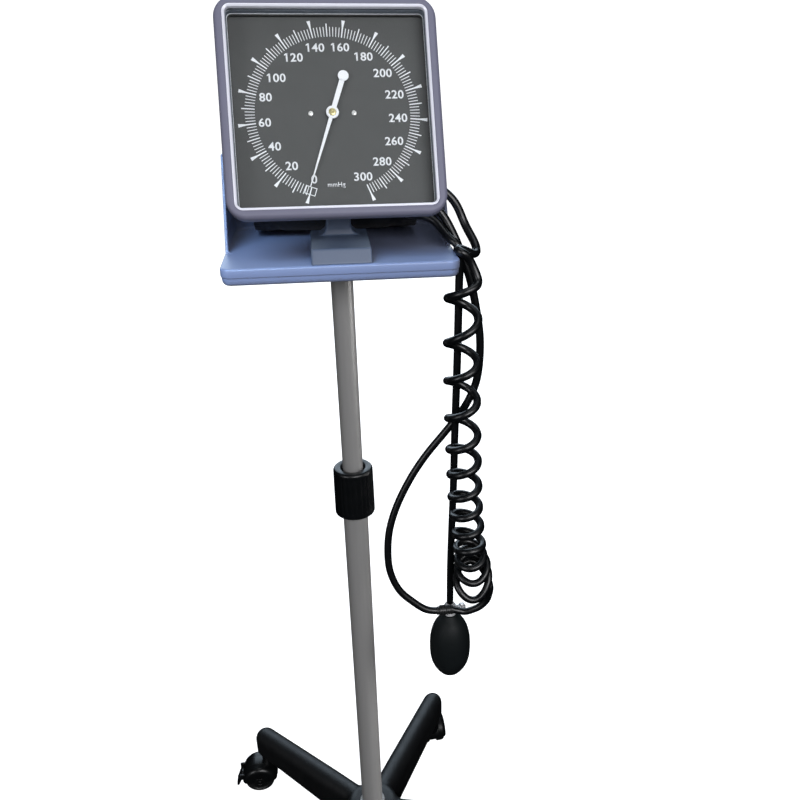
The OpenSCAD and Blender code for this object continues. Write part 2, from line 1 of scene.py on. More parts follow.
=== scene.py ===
import sys, math, json
import bpy, bmesh
import numpy as np
from mathutils import Vector, Matrix
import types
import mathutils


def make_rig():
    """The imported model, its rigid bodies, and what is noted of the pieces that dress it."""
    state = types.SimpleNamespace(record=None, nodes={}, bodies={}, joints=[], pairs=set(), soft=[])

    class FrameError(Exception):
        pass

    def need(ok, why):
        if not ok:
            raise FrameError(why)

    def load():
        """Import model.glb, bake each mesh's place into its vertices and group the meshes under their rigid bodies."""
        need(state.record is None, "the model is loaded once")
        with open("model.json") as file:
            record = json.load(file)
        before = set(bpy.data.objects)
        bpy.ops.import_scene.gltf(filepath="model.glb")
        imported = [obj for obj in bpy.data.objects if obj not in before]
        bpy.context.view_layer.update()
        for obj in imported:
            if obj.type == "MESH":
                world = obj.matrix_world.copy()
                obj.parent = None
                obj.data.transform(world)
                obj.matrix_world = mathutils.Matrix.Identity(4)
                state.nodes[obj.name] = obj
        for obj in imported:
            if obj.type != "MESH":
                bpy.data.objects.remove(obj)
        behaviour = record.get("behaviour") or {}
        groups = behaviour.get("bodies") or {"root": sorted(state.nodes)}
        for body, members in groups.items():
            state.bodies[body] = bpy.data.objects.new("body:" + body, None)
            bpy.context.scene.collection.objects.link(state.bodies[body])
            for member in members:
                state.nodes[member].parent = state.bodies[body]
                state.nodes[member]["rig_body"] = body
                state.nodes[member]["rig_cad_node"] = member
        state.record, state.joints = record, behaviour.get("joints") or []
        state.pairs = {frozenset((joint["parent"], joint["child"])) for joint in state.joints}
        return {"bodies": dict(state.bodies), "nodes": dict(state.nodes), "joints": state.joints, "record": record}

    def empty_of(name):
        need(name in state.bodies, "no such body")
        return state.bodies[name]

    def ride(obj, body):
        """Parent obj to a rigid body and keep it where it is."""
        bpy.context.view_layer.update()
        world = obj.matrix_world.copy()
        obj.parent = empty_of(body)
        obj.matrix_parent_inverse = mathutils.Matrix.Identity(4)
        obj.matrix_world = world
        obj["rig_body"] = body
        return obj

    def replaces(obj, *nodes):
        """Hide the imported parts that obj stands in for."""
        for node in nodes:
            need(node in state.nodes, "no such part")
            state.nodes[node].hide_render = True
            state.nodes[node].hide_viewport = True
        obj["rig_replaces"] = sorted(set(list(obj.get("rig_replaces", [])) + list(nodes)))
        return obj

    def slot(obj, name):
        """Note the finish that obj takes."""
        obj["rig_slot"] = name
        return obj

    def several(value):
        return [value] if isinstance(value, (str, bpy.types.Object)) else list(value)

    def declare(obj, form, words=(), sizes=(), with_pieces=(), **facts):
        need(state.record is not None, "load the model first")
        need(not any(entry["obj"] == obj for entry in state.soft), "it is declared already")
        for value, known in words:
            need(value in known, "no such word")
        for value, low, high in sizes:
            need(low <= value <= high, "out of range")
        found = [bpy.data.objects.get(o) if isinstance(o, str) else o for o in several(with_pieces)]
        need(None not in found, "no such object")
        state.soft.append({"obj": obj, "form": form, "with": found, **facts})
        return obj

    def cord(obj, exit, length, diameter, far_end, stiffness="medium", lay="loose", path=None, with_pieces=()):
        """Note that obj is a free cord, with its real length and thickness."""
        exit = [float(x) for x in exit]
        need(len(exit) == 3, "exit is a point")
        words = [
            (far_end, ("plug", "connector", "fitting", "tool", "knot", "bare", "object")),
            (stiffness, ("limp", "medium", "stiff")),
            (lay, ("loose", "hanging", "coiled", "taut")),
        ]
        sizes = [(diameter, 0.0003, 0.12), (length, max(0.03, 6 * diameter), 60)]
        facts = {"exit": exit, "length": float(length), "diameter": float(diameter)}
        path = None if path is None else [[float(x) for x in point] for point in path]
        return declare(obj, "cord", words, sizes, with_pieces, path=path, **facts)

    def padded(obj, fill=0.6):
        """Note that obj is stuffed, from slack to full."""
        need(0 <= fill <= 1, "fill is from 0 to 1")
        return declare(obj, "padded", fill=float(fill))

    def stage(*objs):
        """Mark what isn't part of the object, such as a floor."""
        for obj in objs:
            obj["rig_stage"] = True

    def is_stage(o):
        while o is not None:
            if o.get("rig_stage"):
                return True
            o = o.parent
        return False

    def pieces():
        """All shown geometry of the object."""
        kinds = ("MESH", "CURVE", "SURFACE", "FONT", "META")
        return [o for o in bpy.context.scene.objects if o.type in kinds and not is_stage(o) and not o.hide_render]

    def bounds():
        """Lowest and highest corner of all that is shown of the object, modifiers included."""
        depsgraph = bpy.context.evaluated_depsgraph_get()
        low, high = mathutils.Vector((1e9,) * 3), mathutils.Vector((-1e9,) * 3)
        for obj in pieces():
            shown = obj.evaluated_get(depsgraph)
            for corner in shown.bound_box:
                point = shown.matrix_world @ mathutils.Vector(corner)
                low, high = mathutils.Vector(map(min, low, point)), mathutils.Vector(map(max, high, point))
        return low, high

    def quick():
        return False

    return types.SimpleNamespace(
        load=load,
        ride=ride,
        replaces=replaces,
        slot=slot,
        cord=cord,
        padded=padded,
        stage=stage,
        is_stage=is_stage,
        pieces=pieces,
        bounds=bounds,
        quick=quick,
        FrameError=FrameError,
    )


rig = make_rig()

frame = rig.load()
bpy.context.view_layer.update()
CAD_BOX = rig.bounds()
NODES = frame["nodes"]
S = 0.001
rad = math.radians

# ------------------------------------------------------------------ camera
cam_data = bpy.data.cameras.new("camera")
cam = bpy.data.objects.new("camera", cam_data)
bpy.context.scene.collection.objects.link(cam)
cam_data.sensor_width = 36.0
cam_data.lens = 36.0
cam_data.clip_start, cam_data.clip_end = 0.05, 30
cam_data.shift_x, cam_data.shift_y = -0.059, 0.0275
cam.location = (-0.0134, -0.7027, 0.9881)
_psi, _th = rad(8.78), rad(26.02)
cam.rotation_mode = "QUATERNION"
_f = Vector((math.sin(_psi) * math.cos(_th), math.cos(_psi) * math.cos(_th), -math.sin(_th)))
_r = Vector((math.cos(_psi), -math.sin(_psi), 0))
_u = _r.cross(_f)
cam.rotation_quaternion = Matrix((_r, _u, -_f)).transposed().to_quaternion()
bpy.context.scene.camera = cam


# ------------------------------------------------------------------ helpers
def A(x):
    return np.array(x, float)


def new_obj(name, verts, faces, smooth=True):
    me = bpy.data.meshes.new(name)
    me.from_pydata([tuple(v) for v in (A(verts) * S)], [], [tuple(int(i) for i in f) for f in faces])
    me.validate()
    me.update()
    o = bpy.data.objects.new(name, me)
    bpy.context.scene.collection.objects.link(o)
    if smooth:
        me.polygons.foreach_set("use_smooth", [True] * len(me.polygons))
    return o


def fix_normals(o):
    bm = bmesh.new()
    bm.from_mesh(o.data)
    bmesh.ops.recalc_face_normals(bm, faces=bm.faces)
    bm.to_mesh(o.data)
    bm.free()


def loft(name, rings, cap0=True, cap1=True, closed=False, wrap=True):
    """Skins closed rings of equal length. closed joins the last ring to the first."""
    rings = [A(r) for r in rings]
    n = len(rings[0])
    v = np.concatenate(rings)
    f = []
    m = len(rings)
    for i in range(m if closed else m - 1):
        a, b = i * n, ((i + 1) % m) * n
        for k in range(n if wrap else n - 1):
            k2 = (k + 1) % n
            f.append((a + k, a + k2, b + k2, b + k))
    if not closed:
        if cap0:
            f.append(tuple(range(n))[::-1])
        if cap1:
            f.append(tuple((m - 1) * n + k for k in range(n)))
    o = new_obj(name, v, f)
    fix_normals(o)
    return o


def rr_ring(w, h, r, n=8, cx=0.0, cy=0.0):
    r = min(r, w / 2 - 0.01, h / 2 - 0.01)
    p = []
    for sx, sy, a0 in ((1, 1, 0), (-1, 1, 90), (-1, -1, 180), (1, -1, 270)):
        for i in range(n + 1):
            a = rad(a0 + 90 * i / n)
            p.append((cx + sx * (w / 2 - r) + r * math.cos(a), cy + sy * (h / 2 - r) + r * math.sin(a)))
    return A(p)


def z_ring(p2, z):
    return np.c_[p2, np.full(len(p2), float(z))]


def lathe(name, prof, seg=48, closed=False):
    """Revolves (r, z) about Z. Radii of 0 at the ends close the shape."""
    v, f, idx = [], [], []
    for r, z in prof:
        if r < 1e-6:
            idx.append([len(v)] * seg)
            v.append((0, 0, z))
        else:
            idx.append(list(range(len(v), len(v) + seg)))
            v += [(r * math.cos(2 * math.pi * k / seg), r * math.sin(2 * math.pi * k / seg), z) for k in range(seg)]
    m = len(prof)
    for i in range(m if closed else m - 1):
        a, b = idx[i], idx[(i + 1) % m]
        for k in range(seg):
            q = []
            for t in (a[k], a[(k + 1) % seg], b[(k + 1) % seg], b[k]):
                if t not in q:
                    q.append(t)
            if len(q) > 2:
                f.append(q)
    o = new_obj(name, v, f)
    fix_normals(o)
    return o


def xf(o, M):
    """Applies a 4x4 in millimetres to an object's mesh."""
    M = M.copy()
    M.translation = M.translation * S
    o.data.transform(M)
    o.data.update()
    return o


def T(x, y, z):
    return Matrix.Translation((x, y, z))


def R(axis, deg):
    return Matrix.Rotation(rad(deg), 4, axis)


def join(name, objs):
    objs = [o for o in objs if o]
    bm = bmesh.new()
    mats = []
    for o in objs:
        off = len(bm.faces)
        me = o.data
        bm2 = bmesh.new()
        bm2.from_mesh(me)
        bm2.transform(o.matrix_world)
        tmp = bpy.data.meshes.new("t")
        bm2.to_mesh(tmp)
        bm2.free()
        ids = {}
        for i, mt in enumerate(me.materials):
            if mt not in mats:
                mats.append(mt)
            ids[i] = mats.index(mt)
        bm.from_mesh(tmp)
        bm.faces.ensure_lookup_table()
        for fc in bm.faces[off:]:
            fc.material_index = ids.get(fc.material_index, 0)
        bpy.data.meshes.remove(tmp)
    me = bpy.data.meshes.new(name)
    bm.to_mesh(me)
    bm.free()
    for mt in mats:
        me.materials.append(mt)
    for o in objs:
        bpy.data.objects.remove(o)
    o = bpy.data.objects.new(name, me)
    bpy.context.scene.collection.objects.link(o)
    return o


def bake(o):
    """Applies all modifiers."""
    dg = bpy.context.evaluated_depsgraph_get()
    me = bpy.data.meshes.new_from_object(o.evaluated_get(dg), depsgraph=dg)
    o.modifiers.clear()
    old = o.data
    o.data = me
    bpy.data.meshes.remove(old)
    return o


def bevel(o, w, seg=2, angle=30, apply=True):
    m = o.modifiers.new("b", "BEVEL")
    m.width = w * S
    m.segments = seg
    m.limit_method = "ANGLE"
    m.angle_limit = rad(angle)
    m.harden_normals = False
    return bake(o) if apply else o


def subsurf(o, n=1):
    m = o.modifiers.new("s", "SUBSURF")
    m.levels = n
    m.render_levels = n
    return bake(o)


def remesh(o, size):
    m = o.modifiers.new("r", "REMESH")
    m.mode = "VOXEL"
    m.voxel_size = size * S
    m.use_smooth_shade = True
    return bake(o)


def smooth_mesh(o, it=5, f=0.5):
    m = o.modifiers.new("sm", "SMOOTH")
    m.factor = f
    m.iterations = it
    return bake(o)


def cut(o, cutter, op="DIFFERENCE"):
    m = o.modifiers.new("c", "BOOLEAN")
    m.object = cutter
    m.operation = op
    m.solver = "EXACT"
    bake(o)
    bpy.data.objects.remove(cutter)
    return o


def auto(o, angle=35):
    """Smooth faces with sharp edges above the angle."""
    me = o.data
    me.polygons.foreach_set("use_smooth", [True] * len(me.polygons))
    try:
        me.set_sharp_from_angle(angle=rad(angle))
    except Exception:
        pass
    return o


def put(o, body, material, slot=None, replaces=()):
    if not o.data.materials:
        o.data.materials.append(material)
    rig.ride(o, body)
    if slot:
        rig.slot(o, slot)
    if replaces:
        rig.replaces(o, *replaces)
    return o


def box_mesh(name, x0, x1, y0, y1, z0, z1):
    v = [(x, y, z) for z in (z0, z1) for y in (y0, y1) for x in (x0, x1)]
    f = [(0, 2, 3, 1), (4, 5, 7, 6), (0, 1, 5, 4), (2, 6, 7, 3), (0, 4, 6, 2), (1, 3, 7, 5)]
    return new_obj(name, v, f, smooth=False)


# ------------------------------------------------------------------ materials
def material(name, color, rough=0.5, metal=0.0, var=0.06, var_scale=60, rough_var=0.08, bump=0.02, bump_scale=900,
             stretch=(1, 1, 1), wear=None, wear_amt=0.25, coat=0.0, coat_rough=0.1, spec=0.5, sheen=0.0, grime=0.0, dist=0.0003):
    m = bpy.data.materials.new(name)
    m.use_nodes = True
    nt = m.node_tree
    nt.nodes.clear()
    out = nt.nodes.new("ShaderNodeOutputMaterial")
    b = nt.nodes.new("ShaderNodeBsdfPrincipled")
    nt.links.new(b.outputs[0], out.inputs[0])
    b.inputs["Metallic"].default_value = metal
    b.inputs["Specular IOR Level"].default_value = spec
    b.inputs["Coat Weight"].default_value = coat
    b.inputs["Coat Roughness"].default_value = coat_rough
    b.inputs["Sheen Weight"].default_value = sheen
    tc = nt.nodes.new("ShaderNodeTexCoord")
    mp = nt.nodes.new("ShaderNodeMapping")
    mp.inputs["Scale"].default_value = stretch
    nt.links.new(tc.outputs["Object"], mp.inputs[0])

    def noise(scale, detail=4, rough_=0.55):
        n = nt.nodes.new("ShaderNodeTexNoise")
        n.inputs["Scale"].default_value = scale
        n.inputs["Detail"].default_value = detail
        n.inputs["Roughness"].default_value = rough_
        nt.links.new(mp.outputs[0], n.inputs["Vector"])
        return n

    def ramp(src, p0, p1, c0, c1):
        r = nt.nodes.new("ShaderNodeValToRGB")
        r.color_ramp.elements[0].position, r.color_ramp.elements[1].position = p0, p1
        r.color_ramp.elements[0].color, r.color_ramp.elements[1].color = c0, c1
        nt.links.new(src, r.inputs[0])
        return r

    c = A(color)
    lo = tuple(np.clip(c * (1 - var), 0, 1)) + (1,)
    hi = tuple(np.clip(c * (1 + var), 0, 1)) + (1,)
    col = ramp(noise(var_scale, 5).outputs[0], 0.3, 0.7, lo, hi).outputs[0]
    if grime:
        g = ramp(noise(var_scale * 0.21, 6, 0.7).outputs[0], 0.42, 0.72, (0, 0, 0, 1), (grime, grime, grime, 1))
        mx = nt.nodes.new("ShaderNodeMix")
        mx.data_type = "RGBA"
        nt.links.new(g.outputs[0], mx.inputs[0])
        nt.links.new(col, mx.inputs[6])
        mx.inputs[7].default_value = tuple(np.clip(c * 0.6 + 0.02, 0, 1)) + (1,)
        col = mx.outputs[2]
    if wear is not None:
        geo = nt.nodes.new("ShaderNodeNewGeometry")
        w = ramp(geo.outputs["Pointiness"], 0.52, 0.6, (0, 0, 0, 1), (wear_amt, wear_amt, wear_amt, 1))
        mx = nt.nodes.new("ShaderNodeMix")
        mx.data_type = "RGBA"
        nt.links.new(w.outputs[0], mx.inputs[0])
        nt.links.new(col, mx.inputs[6])
        mx.inputs[7].default_value = tuple(wear) + (1,)
        col = mx.outputs[2]
    nt.links.new(col, b.inputs["Base Color"])
    rr = ramp(noise(var_scale * 2.3, 4).outputs[0], 0.25, 0.75, (rough - rough_var,) * 3 + (1,), (rough + rough_var,) * 3 + (1,))
    nt.links.new(rr.outputs[0], b.inputs["Roughness"])
    if bump:
        bp = nt.nodes.new("ShaderNodeBump")
        bp.inputs["Strength"].default_value = bump
        bp.inputs["Distance"].default_value = dist
        nt.links.new(noise(bump_scale, 3).outputs[0], bp.inputs["Height"])
        nt.links.new(bp.outputs[0], b.inputs["Normal"])
    return m


M_SHELL = material("shell_plastic", (0.140, 0.141, 0.202), 0.50, var=0.02, var_scale=25, rough_var=0.02, bump=0.06, bump_scale=1500, spec=0.45, wear=(0.22, 0.23, 0.30), wear_amt=0.15)
# tray: the shell's lavender plastic with a bluer base colour, which is a painted blue sheen; the cool tray lamp adds
# real sheen on top
M_TRAY_PAINTED_SHEEN = material("tray_plastic_painted_sheen", (0.125, 0.142, 0.215), 0.42, var=0.02, var_scale=22, rough_var=0.015, bump=0.03, bump_scale=1300, spec=0.55, wear=(0.20, 0.22, 0.32), wear_amt=0.15)
# pedestal: the shell's plastic, tinted bluer as a painted reflection of cool light
M_PEDESTAL_PAINTED_SHEEN = material("pedestal_plastic_painted_sheen", (0.095, 0.130, 0.205), 0.42, var=0.02, var_scale=40, rough_var=0.015, bump=0.03, bump_scale=1300, spec=0.55, wear=(0.2, 0.24, 0.33), wear_amt=0.3)
M_BLACK = material("black_plastic", (0.0028, 0.0032, 0.0038), 0.50, var=0.12, var_scale=35, rough_var=0.05, bump=0.08, bump_scale=1100, spec=0.50, wear=(0.02, 0.021, 0.024), wear_amt=0.25)
M_GLOSSBLACK = material("caster_plastic", (0.0026, 0.0030, 0.0034), 0.30, var=0.12, var_scale=60, rough_var=0.04, bump=0.04, bump_scale=900, spec=0.42, wear=(0.02, 0.02, 0.02), wear_amt=0.2)
M_COLLAR = material("collar_plastic", (0.0022, 0.0028, 0.0034), 0.33, var=0.10, var_scale=60, rough_var=0.05, bump=0.06, bump_scale=1100, spec=0.42, wear=(0.03, 0.033, 0.036), wear_amt=0.3)
M_DARK = material("dark_plastic", (0.008, 0.009, 0.011), 0.45, var=0.1, bump=0.08)
M_CONN = material("connector_plastic", (0.0075, 0.0080, 0.0085), 0.36, var=0.12, var_scale=180, bump=0.05, bump_scale=1600, wear=(0.04, 0.04, 0.04), wear_amt=0.3)
M_HUB = material("wheel_hub_plastic", (0.005, 0.0055, 0.006), 0.42, var=0.1, var_scale=90, bump=0.08, grime=0.15)
M_TUBE = material("tube_metal", (0.27, 0.268, 0.265), 0.36, metal=0.30, var=0.02, var_scale=30, stretch=(14, 14, 0.25), rough_var=0.03, bump=0.06, bump_scale=160)
M_STEEL = material("steel", (0.50, 0.51, 0.52), 0.28, metal=1.0, var=0.05, var_scale=120, bump=0.06, bump_scale=1500)
M_STEELW = material("nickel_screw", (0.86, 0.85, 0.80), 0.32, metal=0.35, var=0.04, var_scale=220, bump=0.05, bump_scale=1500)
M_CHROME = material("chrome", (0.92, 0.92, 0.94), 0.20, metal=0.60, var=0.02, var_scale=80, rough_var=0.03, bump=0.0)
M_RING = material("trim_ring", (0.78, 0.79, 0.88), 0.34, metal=0.20, var=0.01, var_scale=80, rough_var=0.01, bump=0.0)
M_BRASS = material("brass", (0.60, 0.52, 0.25), 0.34, metal=0.6, var=0.10, var_scale=260, bump=0.08, bump_scale=1800)
M_DIAL = material("dial_face", (0.095, 0.095, 0.090), 0.55, var=0.02, var_scale=60, rough_var=0.03, bump=0.02, bump_scale=3200, dist=0.0001, spec=0.25)
M_WHITE = material("white_ink", (0.93, 0.93, 0.92), 0.5, var=0.01, bump=0.0)
M_LINE = material("dial_edge", (0.80, 0.81, 0.82), 0.3, metal=0.2, var=0.03, var_scale=120, bump=0.0)
M_SURROUND = material("dial_surround", (0.150, 0.170, 0.200), 0.32, var=0.04, var_scale=50, rough_var=0.03, bump=0.03, bump_scale=1500)
M_RUBBER = material("hose_rubber", (0.0022, 0.0027, 0.0035), 0.32, var=0.15, var_scale=70, rough_var=0.04, bump=0.03, bump_scale=1500, spec=0.50)
M_BULB = material("bulb_rubber", (0.0042, 0.0062, 0.0070), 0.58, var=0.12, var_scale=60, rough_var=0.04, bump=0.08, bump_scale=1300, spec=0.22)
M_TREAD = material("wheel_rubber", (0.0042, 0.0045, 0.0048), 0.50, var=0.2, var_scale=60, bump=0.15, bump_scale=900, grime=0.2, spec=0.4)
M_WASHER = material("washer_nylon", (0.62, 0.61, 0.56), 0.4, bump=0.03)
M_INNER = material("inner_dark", (0.009, 0.010, 0.012), 0.5, bump=0.05)


def fabric(name, color, pitch=0.0011, rough=0.85, var=0.25, bump=0.5, rib=False):
    """Plain weave: two sets of threads that cross, from the cloth's own coordinates in centimetres."""
    m = material(name, color, rough, var=var, var_scale=300, rough_var=0.05, bump=0.0, sheen=0.10, spec=0.25)
    t = m.node_tree
    b = [n for n in t.nodes if n.type == "BSDF_PRINCIPLED"][0]
    uv = t.nodes.new("ShaderNodeUVMap")
    uv.uv_map = "weave"
    sep = t.nodes.new("ShaderNodeSeparateXYZ")
    t.links.new(uv.outputs[0], sep.inputs[0])
    k = 0.01 / pitch * math.pi

    def op(o_, a, b_=None):
        n = t.nodes.new("ShaderNodeMath")
        n.operation = o_
        for i, s_ in ((0, a), (1, b_)):
            if s_ is None:
                continue
            if isinstance(s_, (int, float)):
                n.inputs[i].default_value = s_
            else:
                t.links.new(s_, n.inputs[i])
        return n.outputs[0]
    su = op("SINE", op("MULTIPLY", sep.outputs[0], k))
    sv = op("SINE", op("MULTIPLY", sep.outputs[1], k))
    h = op("MULTIPLY", su, sv)
    if rib:
        h = su
    h = op("ADD", op("MULTIPLY", h, 0.5), 0.5)
    bp = t.nodes.new("ShaderNodeBump")
    bp.inputs["Strength"].default_value = bump
    bp.inputs["Distance"].default_value = 0.00025
    t.links.new(h, bp.inputs["Height"])
    t.links.new(bp.outputs[0], b.inputs["Normal"])
    src = b.inputs["Base Color"].links[0].from_socket
    mx = t.nodes.new("ShaderNodeMix")
    mx.data_type = "RGBA"
    mx.blend_type = "MULTIPLY"
    mx.inputs[0].default_value = 0.55
    t.links.new(src, mx.inputs[6])
    t.links.new(h, mx.inputs[7])
    t.links.new(mx.outputs[2], b.inputs["Base Color"])
    return m


M_CUFF = fabric("cuff_nylon", (0.006, 0.008, 0.014), 0.0010)
M_BINDING = fabric("cuff_binding", (0.012, 0.014, 0.020), 0.0016, rib=True)
M_HOOK = material("hook_tape", (0.016, 0.018, 0.024), 0.9, var=0.5, var_scale=1400, bump=0.9, bump_scale=2200, dist=0.0006, sheen=0.2, spec=0.25)
M_THREAD = material("thread", (0.045, 0.050, 0.065), 0.7, var=0.2, var_scale=1500, bump=0.3, bump_scale=3000)

cad_materials = {
    "spider_base": M_BLACK, "stem_sockets": M_STEEL, "lower_tube": M_TUBE, "tube_seat_ring": M_TUBE, "hub_bolt": M_STEEL, "clamp_collet": M_DARK,
    "lock_collar": M_BLACK, "upper_tube": M_TUBE, "tube_end_bush": M_DARK, "column_socket": M_DARK, "tray_screws": M_STEEL,
    "cuff_basket": M_SHELL, "pedestal": M_SHELL, "tilt_pin": M_STEEL, "friction_washers": M_WASHER, "cuff": M_INNER, "cuff_ports": M_RUBBER,
    "bulb_hose": M_RUBBER, "cuff_hose": M_RUBBER, "gauge_hose_lead": M_RUBBER, "gauge_hose_coil": M_RUBBER, "gauge_hose_tail": M_RUBBER,
    "luer_socket": M_DARK, "luer_plug": M_DARK, "valve_body": M_CHROME, "valve_screw": M_CHROME, "bulb": M_BULB, "inlet_valve": M_STEEL,
    "rear_case": M_SHELL, "bezel": M_SHELL, "chrome_trim": M_CHROME, "lens_gasket": M_INNER, "dial_plate": M_DIAL, "dial_screws": M_STEEL,
    "movement_frame": M_BRASS, "capsule": M_BRASS, "inlet_elbow": M_STEEL, "case_screws": M_STEEL, "hairspring": M_STEEL,
    "sector_gear": M_BRASS, "pinion_arbor": M_STEEL, "pointer": M_WHITE,
}
for k in range(1, 6):
    cad_materials["caster_%d" % k] = M_GLOSSBLACK
    cad_materials["wheels_%d" % k] = M_TREAD
cad_materials["brake_pedal_2"] = cad_materials["brake_pedal_4"] = M_GLOSSBLACK
# clear cover
M_LENS = bpy.data.materials.new("lens_clear")
M_LENS.use_nodes = True
nt = M_LENS.node_tree
nt.nodes.clear()
_out = nt.nodes.new("ShaderNodeOutputMaterial")
_mix = nt.nodes.new("ShaderNodeMixShader")
_tr = nt.nodes.new("ShaderNodeBsdfTransparent")
_gl = nt.nodes.new("ShaderNodeBsdfPrincipled")
_gl.inputs["Base Color"].default_value = (0.9, 0.92, 0.95, 1)
_gl.inputs["Metallic"].default_value = 1.0
_gl.inputs["Roughness"].default_value = 0.06
_lw = nt.nodes.new("ShaderNodeLayerWeight")
_lw.inputs[0].default_value = 0.5
_pw = nt.nodes.new("ShaderNodeMath")
_pw.operation = "POWER"
_pw.inputs[1].default_value = 5.0
nt.links.new(_lw.outputs["Facing"], _pw.inputs[0])
_fr = nt.nodes.new("ShaderNodeMath")
_fr.operation = "MULTIPLY_ADD"
_fr.inputs[1].default_value = 0.9
_fr.inputs[2].default_value = 0.015
nt.links.new(_pw.outputs[0], _fr.inputs[0])
_tr.inputs[0].default_value = (0.97, 0.98, 0.99, 1)
nt.links.new(_fr.outputs[0], _mix.inputs[0])
nt.links.new(_tr.outputs[0], _mix.inputs[1])
nt.links.new(_gl.outputs[0], _mix.inputs[2])
nt.links.new(_mix.outputs[0], _out.inputs[0])
cad_materials["lens"] = M_LENS
for n, o in NODES.items():
    o.data.materials.clear()
    o.data.materials.append(cad_materials[n])
    auto(o, 30)

# ------------------------------------------------------------------ cords
HR = 3.75
LEAD = A([[64.4,0,872],[74,0,871.5],[84,0,869],[93,-1,863.5],[101,-3.5,856],[105.5,-5,847],[108.5,-6.5,838.5],
  [113,-14,829.3],[116.4,-21,822.8],[117.2,-29,816.8],[114.5,-35,815.4],[108.5,-38.6,818.8],[101.8,-40,823.2],
  [96.6,-42,824.6],[94.2,-47.5,824.2],[96.6,-53,823.8],[101.4,-54.6,823],[106,-51,817],[109.5,-45.5,811],
  [113.5,-44,805],[115,-48,799]])
BULBH = A([[60,18.8,843],[61,12,843],[66,4,843.5],[74,-1,843.5],[82.5,-5,840.4],[88.8,-12,833.6],
  [93.8,-21,827.4],[98.3,-25.5,825.2],[102,-27,819.5],[102.2,-27,808],[101.6,-27,791],
  [100.9,-27,750],[100,-27,705],[98.4,-27,645],[97.2,-27,585],[95.5,-27,530],[94.3,-27,485],[94,-27,442.2]])
CUFFH = A([[68,18.8,862],[69,12,861.8],[73,5,860],[79,0,856],[86,-3,849.5],[92.3,-5.5,841.8],
  [97.4,-9.5,832],[101.4,-13.5,823],[105.5,-15.5,812],[110.3,-17,799],[114.8,-17.5,783],[119,-18,762],
  [122.8,-18,736],[122.8,-18,710],[119.5,-18,688],[111,-18,668],[101.5,-17,653],[89,-17,637],
  [71,-18,615],[55.5,-20,592],[41.5,-23,565],[32.5,-27,539],[29.5,-31,514],[31,-35,492],[39.5,-39,471],[54,-42,456],
  [66,-44,447],[77.3,-44,444]])


def curve_through(p, step=2.0, soften=3.0):
    """Dense smooth points through given ones."""
    p = A(p)
    out = []
    m = len(p)
    for i in range(m - 1):
        a, b, c, d = p[max(i - 1, 0)], p[i], p[i + 1], p[min(i + 2, m - 1)]
        n = max(3, int(np.linalg.norm(c - b) / step))
        for j in range(n):
            t = j / n
            out.append(0.5 * (2 * b + (c - a) * t + (2 * a - 5 * b + 4 * c - d) * t * t + (3 * b - a - 3 * c + d) * t ** 3))
    out.append(p[-1])
    return resample(soft(A(out), soften, step), step)


def soft(q, sigma, step):
    if sigma <= 0:
        return q
    q = resample(q, step)
    k = int(3 * sigma / step) + 1
    w = np.exp(-0.5 * (np.arange(-k, k + 1) * step / sigma) ** 2)
    w /= w.sum()
    a = np.concatenate([2 * q[0] - q[k:0:-1], q, 2 * q[-1] - q[-2:-k - 2:-1]])
    return np.stack([np.convolve(a[:, i], w, "valid") for i in range(3)], 1)


def resample(q, step):
    s = np.r_[0, np.cumsum(np.linalg.norm(np.diff(q, axis=0), axis=1))]
    n = max(2, int(s[-1] / step) + 1)
    t = np.linspace(0, s[-1], n)
    return np.stack([np.interp(t, s, q[:, i]) for i in range(3)], 1)


def length(q):
    return float(np.linalg.norm(np.diff(q, axis=0), axis=1).sum())


def hose(name, q, d):
    cu = bpy.data.curves.new(name, "CURVE")
    cu.dimensions = "3D"
    sp = cu.splines.new("POLY")
    sp.points.add(len(q) - 1)
    for i, p in enumerate(q):
        sp.points[i].co = (p[0] * S, p[1] * S, p[2] * S, 1)
    sp.use_smooth = True
    cu.bevel_depth = d / 2 * S
    cu.bevel_resolution = 4
    cu.use_fill_caps = True
    cu.twist_mode = "MINIMUM"
    o = bpy.data.objects.new(name, cu)
    bpy.context.scene.collection.objects.link(o)
    return o


def catmull(x, y, xq):
    """Cubic through the points with three-point slopes."""
    x, y, xq = A(x), A(y), A(xq)
    m = np.gradient(y, x)
    k = np.clip(np.searchsorted(x, xq) - 1, 0, len(x) - 2)
    h = x[k + 1] - x[k]
    t = (xq - x[k]) / h
    return ((2 * t**3 - 3 * t**2 + 1) * y[k] + (t**3 - 2 * t**2 + t) * h * m[k]
            + (-2 * t**3 + 3 * t**2) * y[k + 1] + (t**3 - t**2) * h * m[k + 1])


# coil: heights of the right-hand, front, left-hand and back points of its turns, from the top
RIGHT_Z = [799.6, 764.5, 723.9, 686.7, 652.0, 624.2, 597.5, 573.5, 551.5, 529.5, 516.1, 504.6, 490.8, 472.4]
LEFT_Z = [783.7, 743.0, 706.9, 669.5, 637.0, 610.0, 585.0, 563.5, 542.5, 524.6, 509.7, 498.2, 484.7]
FRONT_Z = {9: 528.5, 10: 508.5, 11: 489.8, 12: 469.1}
BACK_Z = {9: 522.4, 10: 514.2, 11: 506.0, 12: 497.8}
RIGHT_X = {8: 121.3, 9: 123.6, 10: 125.0, 11: 129.4, 12: 130.6, 13: 132.2}
LEFT_X = {8: 94.1, 9: 95.5, 10: 97.5, 11: 98.1, 12: 96.0}
CR = 17.5 - HR
AX_Z = [500, 526, 548, 568, 590, 616, 643, 678, 715, 754, 805]
AX_X = [113.2, 109.6, 107.5, 105.7, 104.6, 103.5, 102.6, 101.4, 100.9, 100.9, 101.7]
ph, zz, px_, hx_, pq_ = [], [], [], [], []
